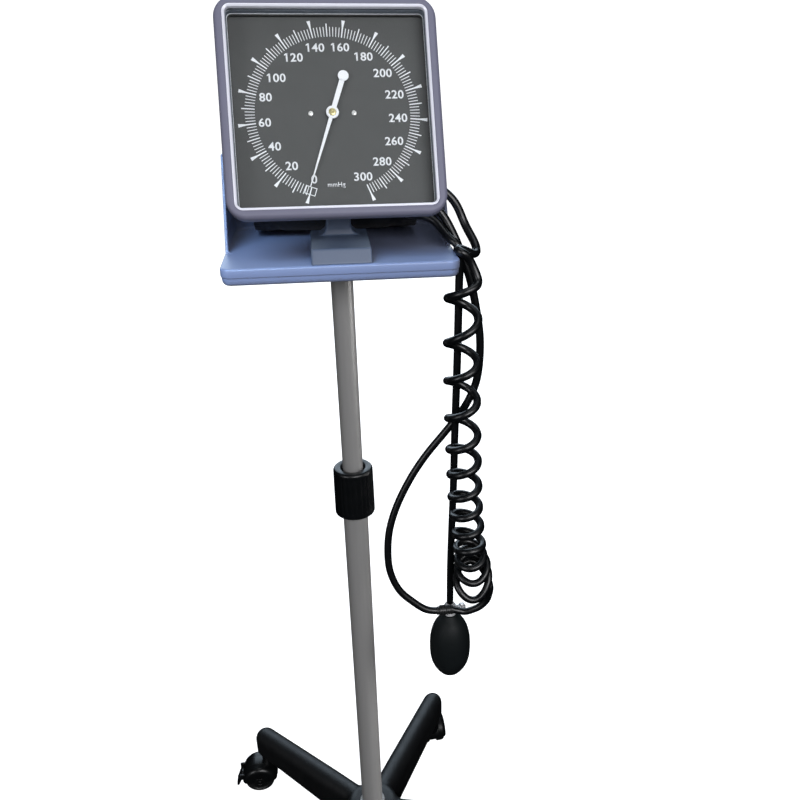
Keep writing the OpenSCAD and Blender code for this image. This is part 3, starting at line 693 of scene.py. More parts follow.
for i in range(len(RIGHT_Z)):
    ph.append(2 * i)
    zz.append(RIGHT_Z[i])
    if i < len(LEFT_Z):
        if i in FRONT_Z:
            ph.append(2 * i + 0.5)
            zz.append(FRONT_Z[i])
        ph.append(2 * i + 1)
        zz.append(LEFT_Z[i])
        if i in BACK_Z:
            ph.append(2 * i + 1.5)
            zz.append(BACK_Z[i])
        if i < 8:
            zm = (RIGHT_Z[i] + LEFT_Z[i]) / 2
            px_.append(float(np.interp(zm, AX_Z, AX_X)))
            hx_.append(CR)
        else:
            px_.append((RIGHT_X[i] + LEFT_X[i]) / 2)
            hx_.append((RIGHT_X[i] - LEFT_X[i]) / 2)
        pq_.append(2 * i + 0.5)
px_.append(RIGHT_X[13] - hx_[-1])
hx_.append(hx_[-1])
pq_.append(26)
phq = np.linspace(0, ph[-1], int(ph[-1] * 24) + 1)
zq = catmull(ph, zz, phq)
cx_ = np.interp(phq, pq_, px_)
hw_ = np.interp(phq, pq_, hx_)
coil = np.stack([cx_ + hw_ * np.cos(math.pi * phq), -50 - CR * np.sin(math.pi * phq), zq], 1)
TAIL = A([[131.2, -49.5, 463.1], [128.9, -48.5, 455.1], [122.5, -47.5, 447.2], [115.6, -46.5, 443.1], [107.5, -45.5, 440.4], [101, -44.6, 441.4], [92.6, -44, 443.9]])
lead_q = curve_through(np.r_[[[57.0, 0, 872]], LEAD[:-1]], 1.5, 3.0)
gq = resample(soft(curve_through(np.concatenate([lead_q[::6][:-1], coil[3::3], TAIL, [[90.5, -44, 444]]]), 1.2, 0), 1.4, 1.2), 1.2)
_g2 = soft(gq, 4.2, 1.2)
_n = min(len(gq), len(_g2))
_w = np.clip((185 - np.arange(_n)) / 30.0, 0, 1)[:, None]
gq = resample(gq[:_n] * (1 - _w) + _g2[:_n] * _w, 1.2)
o = hose("gauge_hose", gq, 2 * HR)
o.data.materials.append(M_RUBBER)
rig.ride(o, "head")
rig.slot(o, "rubber")
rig.replaces(o, "gauge_hose_lead", "gauge_hose_coil", "gauge_hose_tail")
gauge_hose = o
bq = curve_through(np.r_[[[60, 22.5, 843]], BULBH, [[94, -27, 439.5]]], 2.0, 3.0)
bulb_hose = hose("bulb_hose_tube", bq, 2 * HR)
bulb_hose.data.materials.append(M_RUBBER)
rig.ride(bulb_hose, "head")
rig.slot(bulb_hose, "rubber")
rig.replaces(bulb_hose, "bulb_hose")
cq = curve_through(np.r_[[[68, 22.5, 862]], CUFFH, [[80.2, -44, 443.95]]], 2.0, 3.0)
cuff_hose = hose("cuff_hose_tube", cq, 2 * HR)
cuff_hose.data.materials.append(M_RUBBER)
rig.ride(cuff_hose, "head")
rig.slot(cuff_hose, "rubber")
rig.replaces(cuff_hose, "cuff_hose")
print("hose lengths mm: gauge %.0f bulb %.0f cuff %.0f" % (length(gq), length(bq), length(cq)))

# ------------------------------------------------------------------ gauge
MG = T(0, -39.7, 937.2) @ R("X", 64)


def corner(i):
    return 16 - 1.5 * i if i <= 5.3 else max(8.05 - 1.2 * (i - 5.3), 3.2)


def frame_loft(name, prof, closed=True, n=10, rc=None):
    """Skins rounded-square rings. prof is (inset from 170 mm, height) or (inset, height, corner radius)."""
    rings = []
    for q in prof:
        i, z = q[0], q[1]
        r = q[2] if len(q) > 2 else (rc or corner)(i)
        rings.append(z_ring(rr_ring(170 - 2 * i, 170 - 2 * i, r, n), z))
    return xf(loft(name, rings, closed=closed), MG)


def arc(cx, cy, r, a0, a1, n):
    return [(cx + r * math.cos(rad(a0 + (a1 - a0) * k / n)), cy + r * math.sin(rad(a0 + (a1 - a0) * k / n))) for k in range(n + 1)]


prof = [(1.0, -10.0), (0.45, -9.85), (0.1, -9.5), (0.0, -9.0), (0.0, -6.0)]
prof += arc(3.6, -3.6, 3.6, 180, 90, 9)
prof += [(6.0, -0.02), (6.38, -0.1), (6.56, -0.26), (6.6, -0.6), (6.6, -2.4), (7.0, -2.4), (7.0, -4.0), (6.0, -4.0), (6.0, -10.0)]
put(frame_loft("gauge_bezel", prof), "gauge", M_SHELL, "shell_plastic", ["bezel"])

prof = [(6.63, -2.3), (6.63, -0.42), (6.72, -0.14), (6.95, 0.04), (7.2, 0.04), (7.45, -0.14), (7.75, -0.32), (8.4, -0.6), (8.6, -0.75), (8.75, -1.0), (8.8, -1.6),
        (8.85, -3.6), (8.85, -4.0), (7.4, -4.0), (7.0, -2.3)]
put(frame_loft("chrome_ring", prof), "gauge", M_RING, "chrome", ["chrome_trim"])

prof = [(6.3, -6.6), (8.86, -6.6, 4.0), (8.93, -6.8, 3.9), (8.96, -11.2, 3.8), (8.98, -15.95, 3.6), (7.8, -15.95, 4.4), (7.7, -8.3, 4.6), (6.3, -8.3)]
put(frame_loft("dial_surround", prof), "gauge", M_SURROUND, "dark_plastic", ["lens_gasket"])
prof = [(8.9, -11.75, 3.8), (8.9, -11.3, 3.8), (9.02, -11.12, 3.7), (9.22, -11.12, 3.6), (9.36, -11.3, 3.5), (9.4, -11.75, 3.4)]
put(frame_loft("dial_edge_line", prof), "gauge", M_LINE, "dial")
prof = [(8.99, -11.7, 3.8), (9.36, -11.7, 3.5), (9.36, -15.97, 3.5), (8.99, -15.97, 3.8)]
put(frame_loft("dial_rim", prof), "gauge", M_DIAL, "dial")


def prisms(name, polys, z0, z1):
    v, f = [], []
    for p in polys:
        n = len(p)
        a = sum(p[i][0] * p[(i + 1) % n][1] - p[(i + 1) % n][0] * p[i][1] for i in range(n))
        p = p if a > 0 else p[::-1]
        b = len(v)
        v += [(x, y, z0) for x, y in p] + [(x, y, z1) for x, y in p]
        f.append([b + k for k in range(n)][::-1])
        f.append([b + n + k for k in range(n)])
        f += [(b + k, b + (k + 1) % n, b + n + (k + 1) % n, b + n + k) for k in range(n)]
    return new_obj(name, v, f, smooth=False)


def dial_dir(value):
    a = rad(19.8 + value * 1.0614)
    return A([-math.sin(a), -math.cos(a)])


def radial(value, r0, r1, w0, w1):
    d = dial_dir(value)
    t = A([-d[1], d[0]])
    return [tuple(d * r0 - t * w0 / 2), tuple(d * r0 + t * w0 / 2), tuple(d * r1 + t * w1 / 2), tuple(d * r1 - t * w1 / 2)]


polys = []
for v in range(0, 301, 2):
    if v % 20 == 0:
        polys += [radial(v, 60.6, 68.4, 0.85, 1.05), radial(v, 68.4, 74.2, 1.05, 2.8)]
    elif v % 10 == 0:
        polys.append(radial(v, 60.6, 70.8, 0.7, 0.9))
    else:
        polys.append(radial(v, 60.6, 68.2, 0.5, 0.6))
# small box round the zero mark
d0 = dial_dir(0)
t0 = A([-d0[1], d0[0]])
for s_ in (-1, 1):
    polys.append([tuple(d0 * r + t0 * (s_ * 4.1 + e)) for r, e in ((60.9, -0.28), (66.9, -0.28), (66.9, 0.28), (60.9, 0.28))])
for r_ in (60.9, 66.9):
    polys.append([tuple(d0 * (r_ + e) + t0 * w) for e, w in ((-0.28, -4.38), (0.28, -4.38), (0.28, 4.38), (-0.28, 4.38))])
scale_marks = xf(prisms("scale_marks", polys, -16.0, -15.93), MG @ T(0.8, -0.2, 0))
put(scale_marks, "gauge", M_WHITE, "white")


def label(text, cx, cy, height, squeeze=1.0, bold=0.0):
    cu = bpy.data.curves.new("t", "FONT")
    cu.body = text
    cu.size = 1.0
    cu.align_x, cu.align_y = "CENTER", "CENTER"
    cu.resolution_u = 5
    cu.offset = bold
    cu.space_character = 1.06
    cu.extrude = 0.0
    ob = bpy.data.objects.new("t", cu)
    bpy.context.scene.collection.objects.link(ob)
    dg = bpy.context.evaluated_depsgraph_get()
    me = bpy.data.meshes.new_from_object(ob.evaluated_get(dg), depsgraph=dg)
    bpy.data.objects.remove(ob)
    co = A([v.co[:] for v in me.vertices])
    lo, hi = co.min(0), co.max(0)
    k = height / (hi[1] - lo[1])
    co = (co - (lo + hi) / 2) * k
    co[:, 0] = co[:, 0] * squeeze + cx
    co[:, 1] += cy
    co[:, 2] = -15.99
    bm = bmesh.new()
    for i, v in enumerate(me.vertices):
        v.co = co[i] * S
    bm.from_mesh(me)
    bpy.data.meshes.remove(me)
    bmesh.ops.remove_doubles(bm, verts=bm.verts, dist=1e-6)
    r = bmesh.ops.extrude_face_region(bm, geom=list(bm.faces))
    bmesh.ops.translate(bm, vec=(0, 0, 0.06 * S), verts=[e for e in r["geom"] if isinstance(e, bmesh.types.BMVert)])
    bmesh.ops.recalc_face_normals(bm, faces=bm.faces)
    out = bpy.data.meshes.new("label")
    bm.to_mesh(out)
    bm.free()
    o = bpy.data.objects.new("label", out)
    bpy.context.scene.collection.objects.link(o)
    if text[0] == "1":
        xl, yt = co[:, 0].min(), co[:, 1].max()
        o = join("label", [o, prisms("flag", [[(xl + 0.15, yt), (xl + 0.15, yt - 1.35), (xl - 1.25, yt - 2.05), (xl - 1.25, yt - 1.15)]], -15.99, -15.93)])
    return xf(o, MG)


NUMBER_R = {0: 54.4, 20: 53.4, 40: 53.3, 60: 53.7, 80: 53.3, 100: 53.0, 120: 52.8, 140: 53.1, 160: 53.0, 180: 52.2, 200: 51.6, 220: 51.1, 240: 50.8,
            260: 51.4, 280: 52.4, 300: 53.8}
labels = []
for v, rr_ in NUMBER_R.items():
    d = dial_dir(v) * rr_
    labels.append(label(str(v), d[0] + (2.0 if v in (100, 120) else 1.2 if 140 <= v <= 180 else 0.8), d[1] - (2.8 if v == 100 else 0.2), 6.8, 1.04, 0.02))
labels.append(label("mmHg", -0.5, -56.4, 4.8, 0.98, 0.012))
put(join("scale_numbers", labels), "gauge", M_WHITE, "white")

# pointer
MP = MG @ R("Z", -19.8)
pts = [(-1.5, 0)]
pts = [(-1.45, -4.6), (-0.36, -61.4), (-0.15, -61.7), (0.15, -61.7), (0.36, -61.4), (1.45, -4.6)]
needle = prisms("needle_part", [pts], -13.6, -12.85)
arm = prisms("arm_part", [[(-1.9, 4.4), (-2.05, 27.0), (2.05, 27.0), (1.9, 4.4)]], -13.6, -12.85)
disc = xf(lathe("disc_part", [(0, -13.6), (4.05, -13.6), (4.2, -13.45), (4.2, -13.0), (4.05, -12.85), (0, -12.85)], 48), T(0, 30.3, 0))
hub = lathe("hub_part", [(2.8, -13.6), (4.85, -13.6), (5.0, -13.4), (5.0, -12.95), (4.8, -12.7), (3.3, -12.55), (2.8, -12.55)], 56, closed=True)
bevel(needle, 0.12, 2, 40)
bevel(arm, 0.12, 2, 40)
for o_ in (needle, arm, disc, hub):
    auto(o_, 40)
pointer_body = join("pointer_needle", [needle, arm, disc, hub])
put(xf(pointer_body, MP), "needle", M_WHITE, "white", ["pointer"])
cap = lathe("pointer_cap", [(0, -14.4), (3.0, -14.4), (3.0, -12.6), (2.85, -12.2), (2.4, -11.98), (1.0, -11.95), (0.85, -12.2), (0, -12.3)], 48)
put(xf(auto(cap, 30), MP), "needle", M_BRASS, "brass")

# dial screws with a slot
def slotted(name, r, z0, z1, M, slot_w=0.5, depth=0.45, deg=25):
    o = lathe(name, [(0, z0), (r, z0), (r, z0 + (z1 - z0) * 0.35), (r * 0.86, z0 + (z1 - z0) * 0.8), (r * 0.55, z1 - 0.04), (0, z1)], 40)
    c = xf(box_mesh("c", -r * 1.2, r * 1.2, -slot_w / 2, slot_w / 2, z1 - depth, z1 + 1), R("Z", deg))
    cut(o, c)
    return xf(auto(o, 35), M)


scr = [slotted("s", 2.0, -15.95, -14.9, MG @ T(x, 0, 0), deg=a) for x, a in ((-16.9, 35), (16.9, 80))]
put(join("dial_screw_heads", scr), "gauge", M_STEELW, "steel", ["dial_screws"])

# rear case
def rc_case(i):
    return 12.0


def case_rings(spec):
    return [z_ring(rr_ring(w, w, r, 10), z) for w, r, z in spec]


spec = [(155.2, 8.2, -10.1), (159.6, 11.8, -10.1), (160, 12, -10.4), (160, 12, -18.9), (159.6, 11.8, -19.7), (158.6, 11.3, -20.25), (157.2, 10.8, -20.4),
        (141.0, 14.5, -20.4), (138.2, 13.4, -20.8), (136.5, 12.6, -21.9), (136, 12.2, -23.5), (136, 12, -41.5), (135.3, 11.8, -43.6), (133.6, 11.2, -45.1),
        (131.0, 10.4, -45.85), (128.5, 9.6, -46.0), (112.0, 8, -46.0), (111.0, 7.6, -45.7), (110.2, 7.2, -45.0), (109.5, 7, -44.9), (60, 6, -44.9), (59, 5.8, -44.9)]
shell = loft("case_shell", case_rings(spec[:1] + spec[1:]), cap0=False, cap1=True)
inner = loft("case_inner", case_rings([(155.2, 8.2, -10.1), (155.0, 8.0, -17.4), (131, 10, -17.4), (131, 10, -43.4)]), cap0=False, cap1=True)
case = join("rear_case_shell", [shell, inner])
bm = bmesh.new()
bm.from_mesh(case.data)
bmesh.ops.remove_doubles(bm, verts=bm.verts, dist=2e-6)
bmesh.ops.recalc_face_normals(bm, faces=bm.faces)
bm.to_mesh(case.data)
bm.free()
case.data.polygons.foreach_set("use_smooth", [True] * len(case.data.polygons))
xf(case, MG)
# two lugs that straddle the neck, with a web to the case
lugs = []
for sx in (-1, 1):
    out = arc(-41.2, -64.27, 9.0, 180, 360, 20)           # (gy, gz) half circle round the tilt axis
    poly = [(-51.6, -45.2), (-50.4, -47.0), (-50.2, -49.0)] + out + [(-32.2, -49.0), (-32.0, -47.0), (-30.8, -45.2)]
    x0, x1 = (11.5, 19.7)
    v = [(sx * x0, a, b) for a, b in poly] + [(sx * x1, a, b) for a, b in poly]
    n = len(poly)
    f = [list(range(n)), list(range(n, 2 * n))] + [(k, (k + 1) % n, n + (k + 1) % n, n + k) for k in range(n)]
    o_ = new_obj("lug", v, f)
    fix_normals(o_)
    bevel(o_, 0.8, 3, 50)
    lugs.append(xf(o_, MG))
    boss = lathe("boss", [(0, 0), (7.4, 0), (7.4, 0.5), (7.0, 0.9), (0, 0.9)], 40)
    lugs.append(xf(boss, T(sx * 19.6, 0, 872) @ R("Y", 90 * sx)))
case = join("rear_case_shell", [case] + lugs)
# raised ribs on the back
ribs = []
for k in range(6):
    y = 44 - 6.5 * k
    o_ = box_mesh("rib", -38, 38, y - 0.9, y + 0.9, -45.9, -44.6)
    bevel(o_, 0.4, 2, 40)
    ribs.append(xf(o_, MG))
case = join("rear_case_shell", [case] + ribs)
put(auto(case, 32), "gauge", M_SHELL, "shell_plastic", ["rear_case"])


def cross_screw(name, r, h, M, deg=0):
    """Domed pan head with a cross recess; its seat is at z = 0 and it rises to h."""
    o = lathe(name, [(0, 0), (r, 0), (r, h * 0.35), (r * 0.93, h * 0.62), (r * 0.7, h * 0.88), (r * 0.35, h), (0, h)], 40)
    for a in (0, 90):
        c = box_mesh("c", -r * 0.55, r * 0.55, -r * 0.11, r * 0.11, h * 0.35, h + 1)
        cut(o, xf(c, R("Z", a + deg)))
    return xf(auto(o, 35), M)


scr = [cross_screw("s", 4.2, 2.0, MG @ T(x * 72.5, y * 72.5, -20.42) @ R("X", 180), 15 + 20 * x + 31 * y) for x in (-1, 1) for y in (-1, 1)]
put(join("case_screw_heads", scr), "gauge", M_STEEL, "steel", ["case_screws"])
for n_ in ("inlet_elbow", "tilt_pin"):
    NODES[n_].modifiers.new("edge", "BEVEL").width = 0.25 * S
    NODES[n_].modifiers["edge"].segments = 2
    NODES[n_].modifiers["edge"].angle_limit = rad(40)

# ------------------------------------------------------------------ tray and basket
TW, TY0, TY1, TZ = 194.0, -65.0, 90.0, 819.5


def tray_ring(inset, z, rf=9.0, rb=26.0, n=10, zf=None):
    w, y0, y1 = TW / 2 - inset, TY0 + inset, TY1 - inset
    rf, rb = max(rf - inset, 0.8), max(rb - inset, 0.8)
    p = []
    for cx, cy, r, a0 in ((w - rf, y0 + rf, rf, 270), (w - rb, y1 - rb, rb, 0), (-w + rb, y1 - rb, rb, 90), (-w + rf, y0 + rf, rf, 180)):
        for k in range(n + 1):
            a = rad(a0 + 90 * k / n)
            p.append((cx + r * math.cos(a), cy + r * math.sin(a), z))
    return A(p)


outer = [(30, 819.5), (4.0, 819.5), (1.9, 819.48), (1.2, 819.35), (0.6, 819.0), (0.2, 818.5), (0.0, 817.8), (0.0, 812.6), (0.12, 812.2), (0.45, 811.9),
         (0.62, 811.6), (0.66, 811.0), (0.75, 809.6), (1.1, 807.8), (1.9, 806.3), (3.0, 805.4), (4.2, 805.05), (5.2, 805.0), (5.9, 805.2), (6.2, 805.8),
         (6.3, 807), (6.6, 814.2), (7.3, 815.4), (8.6, 815.8), (30, 815.8)]
slab = loft("tray_slab", [tray_ring(i, z) for i, z in outer])
# basket wall, thick sheet along the outline, with its front edges leaning back
def wall_path(inset, z, n_side=26, n_arc=12, n_back=24):
    w, y1 = TW / 2 - inset, TY1 - inset
    rb = 26.0 - inset
    yf = -12 + 0.6745 * (z - TZ)
    p = []
    for k in range(n_side):
        p.append((w, yf + (y1 - rb - yf) * k / n_side))
    for k in range(n_arc + 1):
        a = rad(90 * k / n_arc)
        p.append((w - rb + rb * math.cos(a), y1 - rb + rb * math.sin(a)))
    for k in range(1, n_back):
        p.append((w - rb - 2 * (w - rb) * k / n_back, y1))
    for k in range(n_arc + 1):
        a = rad(90 + 90 * k / n_arc)
        p.append((-w + rb + rb * math.cos(a), y1 - rb + rb * math.sin(a)))
    for k in range(1, n_side + 1):
        p.append((-w, y1 - rb + (yf - (y1 - rb)) * k / n_side))
    return p


def wall_sheet():
    levels = list(np.linspace(819.0, 893.0, 17))
    v, f = [], []
    n = len(wall_path(0.6, 830))
    for ins in (0.6, 3.2):
        for z in levels:
            v += [(x, y, z) for x, y in wall_path(ins, z)]
    m = len(levels)
    def idx(s, i, k):
        return s * m * n + i * n + k
    for i in range(m - 1):
        for k in range(n - 1):
            f.append((idx(0, i, k), idx(0, i, k + 1), idx(0, i + 1, k + 1), idx(0, i + 1, k)))
            f.append((idx(1, i, k), idx(1, i + 1, k), idx(1, i + 1, k + 1), idx(1, i, k + 1)))
    for k in range(n - 1):
        f.append((idx(0, m - 1, k), idx(0, m - 1, k + 1), idx(1, m - 1, k + 1), idx(1, m - 1, k)))
        f.append((idx(0, 0, k), idx(1, 0, k), idx(1, 0, k + 1), idx(0, 0, k + 1)))
    for k in (0, n - 1):
        for i in range(m - 1):
            f.append((idx(0, i, k), idx(0, i + 1, k), idx(1, i + 1, k), idx(1, i, k)))
    o = new_obj("wall", v, f)
    fix_normals(o)
    return bevel(o, 1.0, 4, 50)


wall = wall_sheet()
# fillet where the wall meets the floor of the tray, inside
def fillet_strip(r=3.0, inset=3.2, side=1):
    prof = [(inset - 0.4, TZ - 0.4), (inset - 0.4, TZ + r + 0.3)] + [(inset + r - r * math.cos(rad(a)), TZ + r - r * math.sin(rad(a))) for a in range(0, 91, 15)] + [(inset + r + 0.3, TZ - 0.4)]
    rows = [wall_path(max(i, 0.0), TZ) for i, z in prof]
    zz_ = [z for i, z in prof]
    n = len(rows[0])
    m = len(rows)
    v = [(x, y, zz_[i]) for i in range(m) for x, y in rows[i]]
    f = []
    for i in range(m):
        j = (i + 1) % m
        for k in range(n - 1):
            f.append((i * n + k, i * n + k + 1, j * n + k + 1, j * n + k))
    f.append([i * n for i in range(m)])
    f.append([i * n + n - 1 for i in range(m)][::-1])
    o = new_obj("fillet", v, f)
    fix_normals(o)
    return o


fil = fillet_strip()
# ribs under the tray
rb_ = []
for a in range(0, 360, 45):
    L = {0: 88, 45: 76, 90: 81, 135: 76, 180: 88, 225: 66, 270: 56, 315: 66}[a]
    o_ = box_mesh("rib", 32, L, -0.9, 0.9, 807.5, 816.2)
    rb_.append(xf(o_, R("Z", a)))
ring_ = lathe("ring", [(33.5, 816.2), (31.5, 816.2), (31.7, 807.0), (33.3, 807.0)], 64, closed=True)
tray = join("cuff_tray", [slab, wall, fil] + rb_ + [ring_])
# the tray's bluer base colour is a painted sheen
put(auto(tray, 35), "head", M_TRAY_PAINTED_SHEEN, "shell_plastic", ["cuff_basket"])

# pedestal: wedge block, flared neck and the barrel round the tilt pin
def yz_prism(name, poly, x0, x1):
    n = len(poly)
    v = [(x0, a, b) for a, b in poly] + [(x1, a, b) for a, b in poly]
    f = [list(range(n)), list(range(n, 2 * n))] + [(k, (k + 1) % n, n + (k + 1) % n, n + k) for k in range(n)]
    o = new_obj(name, v, f)
    fix_normals(o)
    return o


block = yz_prism("block", [(-63.6, 819.3), (-57.2, 831.3), (13.0, 831.3), (14.1, 819.3)], -24.4, 24.4)
bevel(block, 1.1, 3, 30)
rings = []
for k in range(9):
    z = 831.0 + 8.5 * k / 8
    w = 18.5 - math.sqrt(max(64 - (839.5 - max(z, 831.5)) ** 2, 0)) if z < 839.5 else 10.5
    dpt = 11.0 - 1.0 * min(1, (z - 831) / 5)
    rings.append(z_ring(rr_ring(2 * w, 2 * dpt, 1.6, 4), z))
for z in (846, 852, 858, 863):
    rings.append(z_ring(rr_ring(21, 20, 1.6, 4), z))
neck = loft("neck", rings)
head_ = yz_prism("neck_head", [(-10, 858), (10, 858)] + arc(0, 872, 10, 0, 180, 28), -10.5, 10.5)
bevel(head_, 0.7, 3, 50)
ped = join("pedestal_neck", [block, neck, head_])
ped = remesh(ped, 0.55)
ped = smooth_mesh(ped, 6, 0.5)
# the pedestal's bluer base colour is a painted reflection
put(auto(ped, 60), "head", M_PEDESTAL_PAINTED_SHEEN, "shell_plastic", ["pedestal"])

scr = [cross_screw("s", 4.0, 2.3, T(22.5 * math.cos(rad(a)), 22.5 * math.sin(rad(a)), 811.0) @ R("X", 180), a) for a in (45, 135, 225, 315)]
put(join("tray_screw_heads", scr), "head", M_STEEL, "steel", ["tray_screws"])
sock = lathe("column_socket_flange", [(10.05, 805.9), (10.05, 792.6), (10.6, 792.0), (14.2, 792.0), (14.9, 792.6), (15.0, 793.6), (15.3, 803.0), (16.6, 807.6), (19.6, 810.2), (21.0, 810.9),
                                     (28.6, 811.0), (29.7, 811.3), (30.0, 812.0), (30.0, 815.2), (29.4, 815.8), (0, 815.8), (0, 806), (10.05, 806)], 72)
gus = []
for a in range(0, 360, 90):
    o_ = yz_prism("g", [(13.5, 795), (15.2, 795.0), (27.5, 811.3), (13.5, 811.3)], -1.1, 1.1)
    bevel(o_, 0.3, 2, 40)
    gus.append(xf(o_, R("Z", a)))
put(auto(join("column_socket_flange", [sock] + gus), 35), "head", M_DARK, "dark_plastic", ["column_socket"])

# ------------------------------------------------------------------ column parts
def fluted():
    prof = [(12.6, 545.8 + 2.3), (13.2, 548.0), (19.2, 548.0), (19.7, 548.25), (19.95, 548.8), (20.0, 549.8), (20.0, 552.6), (20.0, 553.6), (20.0, 555.0), (19.98, 560), (19.9, 570), (19.8, 580), (19.7, 588), (19.66, 592), (19.64, 593.2),
            (19.62, 594.4), (19.6, 596.0), (19.4, 597.0), (18.9, 597.9), (18.1, 598.6), (17.4, 598.85), (16.6, 598.95), (13.2, 599.0), (12.6, 598.7), (12.1, 598.0), (10.9, 596.2), (10.8, 594.0), (13.4, 593.5), (13.4, 574.0), (12.6, 572.0)]
    seg = 24 * 12
    v, f = [], []
    for r, z in prof:
        g = 0.0
        if r > 19.3 and 552 < z < 595:
            g = 0.5 * min(1, (z - 552.6) / 2.4, (594.4 - z) / 2.4) if 552.6 < z < 594.4 else 0.0
        for k in range(seg):
            a = 2 * math.pi * k / seg
            w = ((k % 12) - 6) / 6.0
            dip = g * max(0.0, 1 - (abs(w) / 0.42) ** 2)
            rr = r - dip
            v.append((rr * math.cos(a), rr * math.sin(a), z))
    m = len(prof)
    for i in range(m):
        j = (i + 1) % m
        for k in range(seg):
            f.append((i * seg + k, i * seg + (k + 1) % seg, j * seg + (k + 1) % seg, j * seg + k))
    o = new_obj("collar_knob", v, f)
    fix_normals(o)
    return o


put(auto(fluted(), 50), "collar", M_COLLAR, "black_plastic", ["lock_collar"])
for n_ in ("lower_tube", "upper_tube"):
    auto(NODES[n_], 40)

# ------------------------------------------------------------------ star base
def star_base():
    parts = []
    LW = 14.0
    for k in range(5):
        a = 61 + 72 * k
        rings = []
        xs = [18, 40, 80, 120, 160, 190, 208 - 6, 208, 208 + 5, 208 + 9.5, 208 + 12.4, 208 + 13.7, 208 + 14.0]
        for x in xs:
            t = (x - 20) / 188.0
            zt = 102 + (86 - 102) * min(t, 1.0)
            w = LW if x <= 208 else math.sqrt(max(LW * LW - (x - 208) ** 2, 0.04))
            p = []
            p += [(x, -w, 64.0 + 1.0), (x, -w * 1.0, 70.0)]
            nn = 14
            for i in range(nn + 1):
                b = rad(180 - 180 * i / nn)
                p.append((x, w * math.cos(b), zt + w * math.sin(b)))
            p += [(x, w, 70.0), (x, w, 65.0), (x, w - 0.7, 64.0), (x, -w + 0.7, 64.0)]
            rings.append(A(p))
        o = loft("leg", rings)
        parts.append(xf(o, R("Z", a)))
    hub = lathe("hub", [(0, 60), (29.5, 60), (32, 61), (33, 63), (33.2, 100), (33, 109.5), (32.2, 112.8), (30.5, 115.4), (28, 117.2), (25.5, 118), (0, 118)], 96)
    parts.append(hub)
    o = join("star", parts)
    o = remesh(o, 1.5)
    # blend the legs into the hub
    co = np.empty(len(o.data.vertices) * 3)
    o.data.vertices.foreach_get("co", co)
    co = co.reshape(-1, 3) / S
    rr = np.hypot(co[:, 0], co[:, 1])
    w = np.clip((78 - rr) / 38, 0, 1) * (co[:, 2] > 66)
    vg = o.vertex_groups.new(name="blend")
    for i in np.nonzero(w > 0.01)[0]:
        vg.add([int(i)], float(w[i]), "REPLACE")
    m = o.modifiers.new("s", "SMOOTH")
    m.factor = 0.8
    m.iterations = 40
    m.vertex_group = "blend"
    bake(o)
    smooth_mesh(o, 3, 0.5)
    # hollow under each leg with cross ribs, bore for the tube, socket bores
    cutters = []
    for k in range(5):
        a = 61 + 72 * k
        segs = [(46, 78), (80, 112), (114, 146), (148, 188)]
        for s0, s1 in segs:
            c = box_mesh("c", s0, s1, -10, 10, 60, 82)
            bevel(c, 1.5, 2, 40)
            cutters.append(xf(c, R("Z", a)))
        c = lathe("c", [(0, 60), (8.05, 60), (8.05, 92), (0, 92)], 40)
        cutters.append(xf(c, R("Z", a) @ T(208, 0, 0)))
    cutters.append(lathe("c", [(0, 70), (12.6, 70), (12.6, 117.3), (13.4, 119), (0, 119)], 64))
    cutters.append(lathe("c", [(0, 50), (15, 50), (15, 63), (4.4, 63), (4.4, 71), (0, 71)], 48))
    cc = join("cutters", cutters)
    cut(o, cc)
    o.name = "star_base"
    return o


base = star_base()
put(auto(base, 45), "base", M_BLACK, "black_plastic", ["spider_base"])

# ------------------------------------------------------------------ casters
SWIVEL = [95, 180, 255, 300, 20]
LEG_A = [61 + 72 * k for k in range(5)]


def caster_M(k):
    return R("Z", LEG_A[k]) @ T(208, 0, 0) @ R("Z", SWIVEL[k] - LEG_A[k])


def revolve_y(name, prof, a0, a1, n, caps=True, centre=(14, 20)):
    """Revolves a closed (y, r) profile about the wheel axle between two angles, counted from +X upwards."""
    v, f = [], []
    m = len(prof)
    full = abs(a1 - a0) >= 359.9
    steps = n if full else n + 1
    for i in range(steps):
        a = rad(a0 + (a1 - a0) * i / n)
        for y, r in prof:
            v.append((centre[0] + r * math.cos(a), y, centre[1] + r * math.sin(a)))
    for i in range(n):
        j = (i + 1) % steps
        for k in range(m):
            f.append((i * m + k, i * m + (k + 1) % m, j * m + (k + 1) % m, j * m + k))
    if not full and caps:
        f.append(list(range(m)))
        f.append([(steps - 1) * m + k for k in range(m)][::-1])
    o = new_obj(name, v, f)
    fix_normals(o)
    return o


